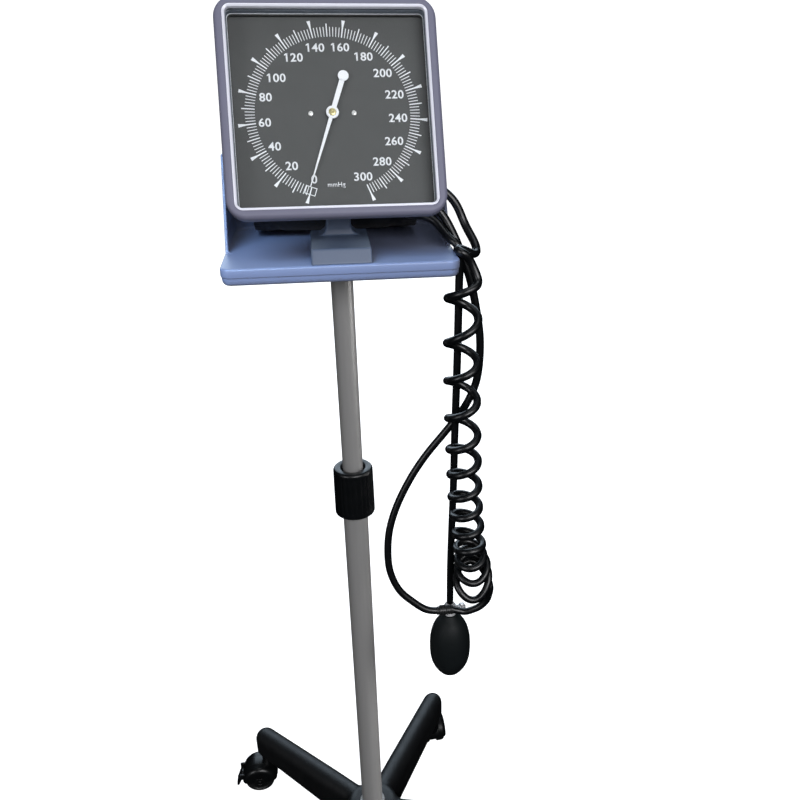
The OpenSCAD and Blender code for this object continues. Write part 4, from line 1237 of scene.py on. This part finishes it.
def hood(slot):
    half = [(4.4, 8.8), (4.4, 20.8), (5.2, 21.4), (14.5, 21.4), (16.6, 20.6), (17.8, 19.0), (18.2, 16.5), (18.2, 7.2), (19.6, 7.2), (19.6, 17.0), (19.35, 18.9), (18.6, 20.8), (17.2, 22.4), (15.4, 23.5), (13.2, 24.1),
            (8.5, 24.3), (8.1, 24.45), (7.7, 24.75), (7.2, 24.85)]
    left = [(-y, r) for y, r in half][::-1]
    shell = revolve_y("hood", half + left, 3, 177, 72)
    if slot:
        cut(shell, box_mesh("c", 34.7, 45, -9.1, 9.1, 20.5, 30.2))
    bevel(shell, 0.3, 2, 60)
    parts = [auto(shell, 40)]
    boss = revolve_y("b", [(-4.4, 3.05), (-4.4, 8.2), (-3.9, 8.8), (3.9, 8.8), (4.4, 8.2), (4.4, 3.05)], 0, 360, 48)
    parts.append(boss)
    for s_ in (-1, 1):
        b = revolve_y("b", [(s_ * 17.75, 3.4), (s_ * 17.75, 7.0), (s_ * 18.6, 7.9), (s_ * 19.3, 7.9), (s_ * 19.8, 7.4), (s_ * 19.8, 4.2), (s_ * 19.4, 3.4)], 0, 360, 40)
        parts.append(b)
    # neck and flange; the neck stops at the wheel pockets
    nk = lathe("n", [(0, 29), (8.8, 29), (9.0, 31), (9.0, 56.4), (9.6, 57.6), (10.6, 58.4), (11.0, 59.0), (11.0, 62.0), (10.6, 62.7), (0, 62.7)], 56)
    for s_ in (-1, 1):
        cut(nk, revolve_y("c", [(s_ * 4.3, 0.001), (s_ * 4.3, 21.5), (s_ * 18.1, 21.5), (s_ * 18.1, 0.001)], 0, 360, 96))
    parts.append(auto(nk, 35))
    if slot:
        for s_ in (-1, 1):
            e = box_mesh("e", 14 + 21.4, 14 + 28.6, s_ * 10.6 - 1.5, s_ * 10.6 + 1.5, 21.0, 30.5)
            bevel(e, 0.9, 3, 40)
            parts.append(auto(e, 40))
    return join("hood", parts)


def axle_caps():
    out = []
    for s_ in (-1, 1):
        o = lathe("a", [(0, -3), (3.0, -3), (3.0, 0.7), (2.7, 1.2), (1.9, 1.5), (0, 1.6)], 32)
        out.append(xf(o, T(14, s_ * 18.5, 20) @ R("X", -90 * s_)))
    return join("axle_caps", out)


def stem():
    return lathe("stem", [(0, 62.6), (5.5, 62.6), (5.5, 79.2), (5.0, 79.8), (5.0, 81.2), (5.5, 81.8), (5.5, 86.6), (4.6, 88), (0, 88)], 40)


def tyre():
    half = [(5.7, 15.2), (5.5, 17.8), (5.7, 19.2), (6.6, 20.0), (8.0, 20.0), (8.3, 19.6), (8.8, 19.6), (9.1, 20.0), (11.2, 20.05), (11.5, 19.6), (12.0, 19.6), (12.3, 20.0),
            (14.2, 19.9), (15.4, 19.5), (16.4, 18.7), (17.2, 17.6), (17.5, 16.6), (17.4, 15.2)]
    out = []
    for s_ in (-1, 1):
        out.append(auto(revolve_y("t", [(s_ * y, r) for y, r in half], 0, 360, 96), 40))
    return join("tyre", out)


def hubs():
    out = []
    for s_ in (-1, 1):
        prof = [(5.1, 3.0), (5.1, 8.4), (6.2, 9.0), (6.4, 13.4), (5.6, 14.2), (5.6, 15.4), (17.35, 15.4), (17.5, 14.6), (16.9, 13.9), (16.2, 13.5), (15.9, 8.4), (16.2, 7.6), (17.1, 7.0), (17.3, 3.0)]
        out.append(auto(revolve_y("h", [(s_ * y, r) for y, r in prof], 0, 360, 64), 40))
        for k in range(6):
            b = box_mesh("s", 7.4, 14.0, -0.7, 0.7, 0, 1)
            for v_ in b.data.vertices:
                x, y, z = v_.co / S
                v_.co = Vector((x, s_ * (15.4 + 1.5 * z), y)) * S
            fix_normals(b)
            bevel(b, 0.3, 2, 40)
            out.append(xf(b, T(14, 0, 20) @ R("Y", 60 * k)))
    ax = revolve_y("a", [(-17.3, 0.001), (-17.3, 3.0), (17.3, 3.0), (17.3, 0.001)], 0, 360, 32)
    out.append(ax)
    return join("hubs", out)


def pedal():
    poly = [(-1.8, -1.2), (-1.2, 1.6), (0.6, 2.5), (2.8, 1.2), (5.2, -4.6), (7.6, -11.6), (9.2, -15.2), (9.0, -16.6), (7.6, -17.3), (6.0, -16.8), (4.6, -14.0), (2.0, -8.0), (-0.4, -4.6)]
    n = len(poly)
    v = [(x, -8, z) for x, z in poly] + [(x, 8, z) for x, z in poly]
    f = [list(range(n)), list(range(n, 2 * n))] + [(k, (k + 1) % n, n + (k + 1) % n, n + k) for k in range(n)]
    o = new_obj("pedal", v, f)
    fix_normals(o)
    bevel(o, 0.7, 3, 25)
    parts = [auto(o, 40)]
    for k in range(4):
        t = k / 3
        x, z = 4.2 + 3.9 * t, -3.6 - 9.4 * t
        g = box_mesh("g", -0.5, 0.7, -6.6, 6.6, -0.55, 0.55)
        bevel(g, 0.25, 2, 40)
        parts.append(xf(g, T(x, 0, z) @ R("Y", 22)))
    pin = revolve_y("p", [(-12, 0.001), (-12, 1.8), (-11.8, 2.0), (11.8, 2.0), (12, 1.8), (12, 0.001)], 0, 360, 32, centre=(0, 0))
    parts.append(pin)
    boss = revolve_y("p", [(-8.8, 1.9), (-8.8, 2.6), (8.8, 2.6), (8.8, 1.9)], 0, 360, 32, centre=(0, 0))
    parts.append(boss)
    return join("pedal", parts)


def copy_to(src, name, M, body, mat, slot, repl=()):
    o = bpy.data.objects.new(name, src.data.copy())
    bpy.context.scene.collection.objects.link(o)
    xf(o, M)
    return put(o, body, mat, slot, repl)


src = {"hood": hood(False), "hood_slot": hood(True), "caps": axle_caps(), "stem": stem(), "tyre": tyre(), "hubs": hubs(), "pedal": pedal()}
for k in range(5):
    M = caster_M(k)
    fork, pair = "caster_fork_%d" % (k + 1), "wheel_pair_%d" % (k + 1)
    braked = k in (1, 3)
    copy_to(src["hood_slot"] if braked else src["hood"], "caster_hood_%d" % (k + 1), M, fork, M_GLOSSBLACK, "black_plastic", ["caster_%d" % (k + 1)])
    copy_to(src["stem"], "caster_stem_%d" % (k + 1), M, fork, M_STEEL, "steel")
    copy_to(src["caps"], "axle_caps_%d" % (k + 1), M, pair, M_GLOSSBLACK, "black_plastic")
    copy_to(src["tyre"], "tyres_%d" % (k + 1), M, pair, M_TREAD, "wheel", ["wheels_%d" % (k + 1)])
    copy_to(src["hubs"], "wheel_hubs_%d" % (k + 1), M, pair, M_HUB, "black_plastic")
    if braked:
        copy_to(src["pedal"], "brake_lever_%d" % (k + 1), M @ T(14 + 25, 0, 20 + 4.5), "pedal_%d" % (k + 1), M_GLOSSBLACK, "black_plastic", ["brake_pedal_%d" % (k + 1)])
for o_ in list(src.values()):
    bpy.data.objects.remove(o_)

# ------------------------------------------------------------------ bulb, valve and connectors
MB = T(94, -27, 0)
prof = [(0, 343.6), (1.6, 343.6), (1.9, 342.7), (3.0, 342.5), (4.6, 342.8), (6.6, 343.7), (9.2, 345.4), (12.0, 348.0), (14.9, 352.0), (17.8, 357.0), (20.2, 363.0), (21.6, 370.0), (22.15, 378.0), (22.15, 386.0),
        (21.7, 394.0), (20.5, 401.0), (18.9, 407.0), (16.7, 412.0), (14.2, 416.0), (11.6, 419.0), (8.9, 421.4), (7.9, 423.0), (7.4, 424.2), (6.6, 424.6), (4.2, 424.6), (4.1, 418), (0, 418)]
bulb = lathe("squeeze_bulb", prof, 72)
put(xf(auto(bulb, 60), MB), "head", M_BULB, "rubber", ["bulb"])
vb = lathe("vb", [(0, 421.2), (4.0, 421.2), (4.0, 424.7), (5.6, 424.7), (6.2, 425.2), (6.2, 427.0), (5.9, 427.3), (5.9, 435.0), (6.2, 435.3), (6.2, 436.2), (5.6, 437.0), (4.4, 437.8), (3.6, 438.6), (3.6, 441.6), (3.2, 442), (0, 442)], 56)
bo = lathe("bo", [(0, 0), (4.3, 0), (4.3, 8.6), (4.0, 9.3), (2.7, 9.4), (2.7, 6), (0, 6)], 40)
valve = join("release_valve", [auto(vb, 35), xf(auto(bo, 35), T(0, 0, 431.5) @ R("Y", 90))])
put(xf(valve, MB), "head", M_CHROME, "chrome", ["valve_body"])


def knurl():
    seg, prof = 24 * 4, [(0, 10.2), (4.3, 10.2), (4.85, 10.7), (5.05, 11.2), (5.05, 14.6), (4.85, 15.1), (4.3, 15.6), (3.4, 15.7), (3.2, 16.3), (2.6, 16.8), (0, 16.9)]
    v, f, idx = [], [], []
    for r, z in prof:
        if r < 0.01:
            idx.append([len(v)] * seg)
            v.append((0, 0, z))
            continue
        idx.append(list(range(len(v), len(v) + seg)))
        for k in range(seg):
            dip = 0.32 if (k % 4 in (0, 1)) and r > 4.2 else 0
            a = 2 * math.pi * k / seg
            v.append(((r - dip) * math.cos(a), (r - dip) * math.sin(a), z))
    for i in range(len(prof) - 1):
        for k in range(seg):
            q = []
            for t in (idx[i][k], idx[i][(k + 1) % seg], idx[i + 1][(k + 1) % seg], idx[i + 1][k]):
                if t not in q:
                    q.append(t)
            if len(q) > 2:
                f.append(q)
    o = new_obj("knurl", v, f)
    fix_normals(o)
    sh = lathe("sh", [(0, 4.2), (2.3, 4.2), (2.5, 4.5), (2.5, 10.4), (0, 10.4)], 32)
    return join("k", [auto(o, 30), auto(sh, 30)])


kn = xf(knurl(), T(94, -27, 431.5) @ R("Y", 90))
put(kn, "valve_knob", M_CHROME, "chrome", ["valve_screw"])
kn.name = "valve_knob_knurled"
iv = lathe("inlet_check_valve", [(0, 348), (3.1, 348), (3.2, 343.3), (4.2, 343.1), (4.4, 342.7), (4.4, 342.1), (4.0, 341.7), (1.4, 341.7), (1.2, 342.7), (0, 342.7)], 40)
put(xf(auto(iv, 35), MB), "head", M_STEEL, "steel", ["inlet_valve"])

# connectors, along X at Y -44, Z 444: the female one on the cuff hose, the male one on the gauge hose
def along_x(name, prof, seg=40):
    o = lathe(name, [(r, z) for z, r in prof], seg)
    return xf(o, T(0, -44, 444) @ R("Y", 90))


fem = along_x("f", [(77.4, 0), (77.4, 4.15), (77.8, 4.4), (78.6, 4.4), (78.9, 4.1), (79.3, 4.1), (79.6, 4.9), (80.2, 5.2), (81.0, 5.2), (81.3, 4.8), (82.3, 4.8), (82.6, 5.2), (83.8, 5.2), (84.1, 4.8), (85.1, 4.8), (85.4, 5.2), (86.5, 5.2), (86.9, 4.9), (86.9, 2.95), (80.6, 2.95), (80.6, 0)])
wings = []
for s_ in (-1, 1):
    w_ = box_mesh("w", 80.4, 86.2, -0.9, 0.9, 4.4, 6.6)
    bevel(w_, 0.35, 2, 40)
    wings.append(xf(w_, T(0, -44, 444) @ R("X", 90 + 90 * s_)))
fem_piece = put(auto(join("hose_socket", [fem] + wings), 35), "head", M_CONN, "dark_plastic", ["luer_socket"])
mal = along_x("m", [(81.2, 0), (81.2, 2.4), (81.6, 2.7), (86.8, 2.9), (87.0, 4.4), (87.4, 5.0), (88.2, 5.0), (88.5, 4.6), (89.5, 4.6), (89.8, 5.0), (90.8, 5.0), (91.1, 4.6), (92.0, 4.6), (92.3, 5.0), (92.8, 5.0), (93.2, 4.5), (94.4, 4.4), (94.7, 4.1), (94.7, 0)])
put(auto(mal, 35), "head", M_CONN, "dark_plastic", ["luer_plug"])
mal.name = "hose_plug"

# ------------------------------------------------------------------ rolled cuff
def cuff_roll():
    yc, zc = 53.4, 852.7
    pitch, r_in, r_out = 5.25, 5.4, 30.1
    turns = (r_out - r_in) / pitch
    th1 = rad(62)
    th0 = th1 - turns * 2 * math.pi
    nu, nx = 260, 40
    xs0, xs1 = -74.2, 72.2
    # arc length
    ths = np.linspace(th0, th1, nu + 1)
    rs = r_in + pitch * (ths - th0) / (2 * math.pi)
    s = np.r_[0, np.cumsum(np.hypot(np.diff(rs), rs[:-1] * np.diff(ths)))]
    L = s[-1]
    xsv = xs0 + (xs1 - xs0) * (0.5 - 0.5 * np.cos(np.pi * np.linspace(0, 1, nx + 1))) * 0.35 + (xs1 - xs0) * np.linspace(0, 1, nx + 1) * 0.65

    def thick(si, x):
        bl = np.clip((si - 45) / 40, 0, 1) * np.clip((L - 105 - si) / 30, 0, 1)
        t = 2.3 + 2.1 * bl
        e = min(x - xs0, xs1 - x)
        t *= 0.62 + 0.38 * min(1, max(0, (e - 6.5) / 9)) if e < 15.5 else 1
        return t
    v, uv = [], []
    for side in (1, -1):
        for i in range(nu + 1):
            for j in range(nx + 1):
                t = thick(s[i], xsv[j]) / 2
                endt = min(1, (s[i] + 0.5) / 4, (L - s[i] + 0.8) / 4)
                r = rs[i] + side * t * max(endt, 0.35)
                v.append((xsv[j], yc + r * math.cos(ths[i]), zc + r * math.sin(ths[i])))
                uv.append((s[i], xsv[j]))
    W = nx + 1
    N = (nu + 1) * W
    f, mats = [], []
    def fid(side, i, j):
        return side * N + i * W + j
    for i in range(nu):
        for j in range(nx):
            bind = 0
            f.append((fid(0, i, j), fid(0, i, j + 1), fid(0, i + 1, j + 1), fid(0, i + 1, j)))
            f.append((fid(1, i, j), fid(1, i + 1, j), fid(1, i + 1, j + 1), fid(1, i, j + 1)))
            e = min(xsv[j] - xs0, xs1 - xsv[j + 1])
            b = e < 6.0 or L - s[i] < 7
            mats += [1 if b else 0] * 2
    for i in range(nu):
        f.append((fid(0, i, 0), fid(0, i + 1, 0), fid(1, i + 1, 0), fid(1, i, 0)))
        f.append((fid(0, i, nx), fid(1, i, nx), fid(1, i + 1, nx), fid(0, i + 1, nx)))
        mats += [1, 1]
    for j in range(nx):
        f.append((fid(0, 0, j), fid(1, 0, j), fid(1, 0, j + 1), fid(0, 0, j + 1)))
        f.append((fid(0, nu, j), fid(0, nu, j + 1), fid(1, nu, j + 1), fid(1, nu, j)))
        mats += [1, 1]
    o = new_obj("cuff_roll", v, f)
    o.data.materials.append(M_CUFF)
    o.data.materials.append(M_BINDING)
    o.data.polygons.foreach_set("material_index", mats)
    ul = o.data.uv_layers.new(name="weave")
    li = np.empty(len(o.data.loops), int)
    o.data.loops.foreach_get("vertex_index", li)
    uva = A(uv)[li] / 10.0
    ul.data.foreach_set("uv", uva.ravel())
    fix_normals(o)
    return o, L, ths, rs, s, (yc, zc)


cuff, CUFF_L, c_th, c_r, c_s, (c_y, c_z) = cuff_roll()
start = np.empty(len(cuff.data.vertices) * 3)
cuff.data.vertices.foreach_get("co", start)
start = start.reshape(-1, 3).copy()
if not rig.quick():
    # the bladder and lining push the cloth out a little and pucker it along its seams
    vg = cuff.vertex_groups.new(name="pin")
    e = np.minimum(start[:, 0] / S + 74.2, 72.2 - start[:, 0] / S)
    pin = np.nonzero(e < 6.0)[0]
    vg.add([int(i) for i in pin], 1.0, "REPLACE")
    m = cuff.modifiers.new("cloth", "CLOTH")
    st = m.settings
    st.quality = 5
    st.mass = 0.3
    st.tension_stiffness = 12
    st.compression_stiffness = 12
    st.shear_stiffness = 4
    st.bending_stiffness = 0.25
    st.use_pressure = True
    st.uniform_pressure_force = 3.0
    st.shrink_min = -0.02
    st.effector_weights.gravity = 0
    st.vertex_group_mass = "pin"
    m.collision_settings.use_collision = False
    sc_ = bpy.context.scene
    for fr in range(1, 19):
        sc_.frame_set(fr)
    dg = bpy.context.evaluated_depsgraph_get()
    ev = cuff.evaluated_get(dg).to_mesh()
    co = np.empty(len(ev.vertices) * 3)
    ev.vertices.foreach_get("co", co)
    co = co.reshape(-1, 3).copy()
    cuff.evaluated_get(dg).to_mesh_clear()
    cuff.modifiers.clear()
    sc_.frame_set(1)
    d = co - start
    ln = np.linalg.norm(d, axis=1, keepdims=True)
    cap_ = 0.9 * S
    d *= np.minimum(1, cap_ / np.maximum(ln, 1e-9))
    co = start + d
    cuff.data.vertices.foreach_set("co", co.ravel())
    cuff.data.update()
    print("cuff cloth moved mm: mean %.2f max %.2f" % (float(ln.mean()) / S, float(ln.max()) / S))
subsurf(cuff, 1)
cuff.data.polygons.foreach_set("use_smooth", [True] * len(cuff.data.polygons))
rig.ride(cuff, "head")
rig.slot(cuff, "cuff_fabric")
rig.replaces(cuff, "cuff")
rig.padded(cuff, fill=0.3)


def on_roll(s_mm, x, lift):
    """A point on the outside of the roll, s_mm back from its free end."""
    si = CUFF_L - s_mm
    th = np.interp(si, c_s, c_th)
    r = np.interp(si, c_s, c_r) + lift
    return (x, c_y + r * math.cos(th), c_z + r * math.sin(th))


def patch(name, s0, s1, x0, x1, lift0, lift1, ns, nx_, mat, corner_r=3.0):
    """A thin strip that lies on the roll."""
    def inside(i, j):
        return True
    v, f = [], []
    for l in (lift1, lift0):
        for i in range(ns + 1):
            for j in range(nx_ + 1):
                s_, x_ = s0 + (s1 - s0) * i / ns, x0 + (x1 - x0) * j / nx_
                v.append(on_roll(s_, x_, l))
    W, N = nx_ + 1, (ns + 1) * (nx_ + 1)
    for i in range(ns):
        for j in range(nx_):
            f.append((i * W + j, i * W + j + 1, (i + 1) * W + j + 1, (i + 1) * W + j))
            f.append((N + i * W + j, N + (i + 1) * W + j, N + (i + 1) * W + j + 1, N + i * W + j + 1))
    for i in range(ns):
        for j in (0, nx_):
            a, b = i * W + j, (i + 1) * W + j
            f.append((a, b, N + b, N + a))
    for j in range(nx_):
        for i in (0, ns):
            a, b = i * W + j, i * W + j + 1
            f.append((a, b, N + b, N + a))
    o = new_obj(name, v, f)
    fix_normals(o)
    bevel(o, 0.25, 2, 50)
    return put(auto(o, 50), "head", mat, "cuff_fabric")


patch("cuff_hook_strip", 10, 58, -62, 60, 1.15, 2.15, 24, 30, M_HOOK)
# stitched lines
def stitches(name, rows):
    o_all = []
    bm = bmesh.new()
    for (s0, x0, s1, x1, lift) in rows:
        L_ = math.hypot(s1 - s0, x1 - x0)
        n = int(L_ / 3.2)
        for k in range(n):
            a, b = k / n, (k + 0.62) / n
            p = A(on_roll(s0 + (s1 - s0) * a, x0 + (x1 - x0) * a, lift))
            q = A(on_roll(s0 + (s1 - s0) * b, x0 + (x1 - x0) * b, lift))
            t = (q - p) / np.linalg.norm(q - p)
            c = (p + q) / 2
            rad_ = A([0, c[1] - c_y, c[2] - c_z])
            rad_ /= np.linalg.norm(rad_)
            sd = np.cross(t, rad_)
            ring = []
            for u, w, h in ((0, 0.12, 0.10), (0.25, 0.26, 0.3), (0.75, 0.26, 0.3), (1, 0.12, 0.10)):
                m_ = p + (q - p) * u
                ring.append([bm.verts.new((m_ + sd * w - rad_ * 0.2) * S), bm.verts.new((m_ + sd * w * 0.7 + rad_ * h) * S), bm.verts.new((m_ - sd * w * 0.7 + rad_ * h) * S), bm.verts.new((m_ - sd * w - rad_ * 0.2) * S)])
            for i in range(3):
                for j in range(4):
                    bm.faces.new((ring[i][j], ring[i][(j + 1) % 4], ring[i + 1][(j + 1) % 4], ring[i + 1][j]))
            bm.faces.new(ring[0][::-1])
            bm.faces.new(ring[3])
    bmesh.ops.recalc_face_normals(bm, faces=bm.faces)
    me = bpy.data.meshes.new(name)
    bm.to_mesh(me)
    bm.free()
    me.polygons.foreach_set("use_smooth", [True] * len(me.polygons))
    o = bpy.data.objects.new(name, me)
    bpy.context.scene.collection.objects.link(o)
    return put(o, "head", M_THREAD, "cuff_fabric")


stitches("cuff_stitching", [(4, -66, 4, 64, 1.3), (12, -60.5, 12, 58.5, 2.1), (56, -60.5, 56, 58.5, 2.1), (12, -60.5, 56, -60.5, 2.1), (12, 58.5, 56, 58.5, 2.1)])

# ------------------------------------------------------------------ declared cords
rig.cord(gauge_hose, exit=(0.0644, 0, 0.872), length=round(length(gq) / 1000, 3), diameter=0.0075, far_end="connector", stiffness="limp", lay="hanging",
        with_pieces=[mal])
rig.cord(bulb_hose, exit=(0.060, 0.019, 0.843), length=round(length(bq) / 1000, 3), diameter=0.0075, far_end="tool", stiffness="limp", lay="hanging",
        with_pieces=[bulb, valve, kn, iv])
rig.cord(cuff_hose, exit=(0.068, 0.019, 0.862), length=round(length(cq) / 1000, 3), diameter=0.0075, far_end="connector", stiffness="limp", lay="hanging",
        with_pieces=[fem_piece])

# ------------------------------------------------------------------ stage and light
def paper(name, glow):
    """White studio paper, slightly luminous so that it stays white behind and under the object."""
    m = bpy.data.materials.new(name)
    m.use_nodes = True
    t = m.node_tree
    b = [n for n in t.nodes if n.type == "BSDF_PRINCIPLED"][0]
    b.inputs["Base Color"].default_value = (0.60, 0.60, 0.60, 1)
    b.inputs["Roughness"].default_value = 0.95
    b.inputs["Specular IOR Level"].default_value = 0.0
    b.inputs["Emission Color"].default_value = (1, 1, 1, 1)
    b.inputs["Emission Strength"].default_value = glow
    return m


def stage_and_light():
    fl = lathe("floor_plane", [(0, 0), (7000, 0)], 96)
    fl.data.materials.append(paper("studio_floor", 0.96))
    # plain pale tent all round
    bd = lathe("backdrop", [(7000 * math.cos(rad(a)), 7000 * math.sin(rad(a))) for a in range(0, 91, 6)], 96)
    bd.data.materials.append(paper("studio_backdrop", 1.0))
    for o in (fl, bd):
        o.visible_glossy = False
        o.visible_diffuse = False
        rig.stage(o)
    bd.visible_shadow = False
    w = bpy.data.worlds.new("world")
    bpy.context.scene.world = w
    w.use_nodes = True
    bg = w.node_tree.nodes["Background"]
    bg.inputs[0].default_value = (1.0, 1.0, 1.0, 1)
    bg.inputs[1].default_value = 0.26
    w.cycles_visibility.glossy = False

    def area(name, loc, target, size, size_y, power, color=(1, 1, 1), spread=180):
        ld = bpy.data.lights.new(name, "AREA")
        ld.shape = "RECTANGLE"
        ld.size, ld.size_y = size, size_y
        ld.energy = power
        ld.color = color
        ld.spread = rad(spread)
        ob = bpy.data.objects.new(name, ld)
        bpy.context.scene.collection.objects.link(ob)
        ob.location = loc
        ob.rotation_mode = "QUATERNION"
        ob.rotation_quaternion = (Vector(target) - Vector(loc)).to_track_quat("-Z", "Y")
        ob.visible_camera = False
        return ob

    # soft box behind the object: sheen on the collar's top and on the leg ridges
    area("back_softbox", (0.1, 2.6, 1.9), (0, 0, 0.7), 3.4, 1.9, 60, (0.72, 0.86, 1.0))
    side = area("side_softbox", (2.1, -0.35, 0.9), (0, 0, 0.6), 0.9, 2.2, 40, (1.0, 0.99, 0.98))
    area("key_softbox", (1.9, -1.9, 1.9), (0, 0, 0.8), 0.9, 1.6, 7, (1.0, 1.0, 1.0))
    area("fill_softbox", (-2.1, -2.0, 1.6), (0, 0, 0.8), 1.2, 1.6, 24, (0.95, 0.96, 1.0))
    area("top_softbox", (0.2, -0.2, 3.4), (0, 0, 0.8), 1.6, 1.6, 14, (0.9, 0.95, 1.0))
    area("front_softbox", (0.8, -2.8, 2.2), (0, 0, 0.85), 2.1, 1.3, 70, (0.97, 0.97, 1.0))
    sheen = area("tray_softbox", (-0.7, -1.1, 1.95), (0, 0, 0.83), 1.1, 0.8, 64, (0.46, 0.70, 1.0))
    # the side box is flagged to the column, and the cool one to the tray
    for light, names in ((side, ("upper_tube", "lower_tube", "collar_knob")), (sheen, ("cuff_tray",))):
        group = bpy.data.collections.new(light.name + "_group")
        for n in names:
            group.objects.link(bpy.data.objects[n])
        light.light_linking.receiver_collection = group


stage_and_light()
bpy.context.scene.view_settings.view_transform = "Standard"

box_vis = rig.bounds()
json.dump({"cad": [list(map(float, c)) for c in CAD_BOX], "visual": [list(map(float, c)) for c in box_vis]}, open("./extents.json", "w"))
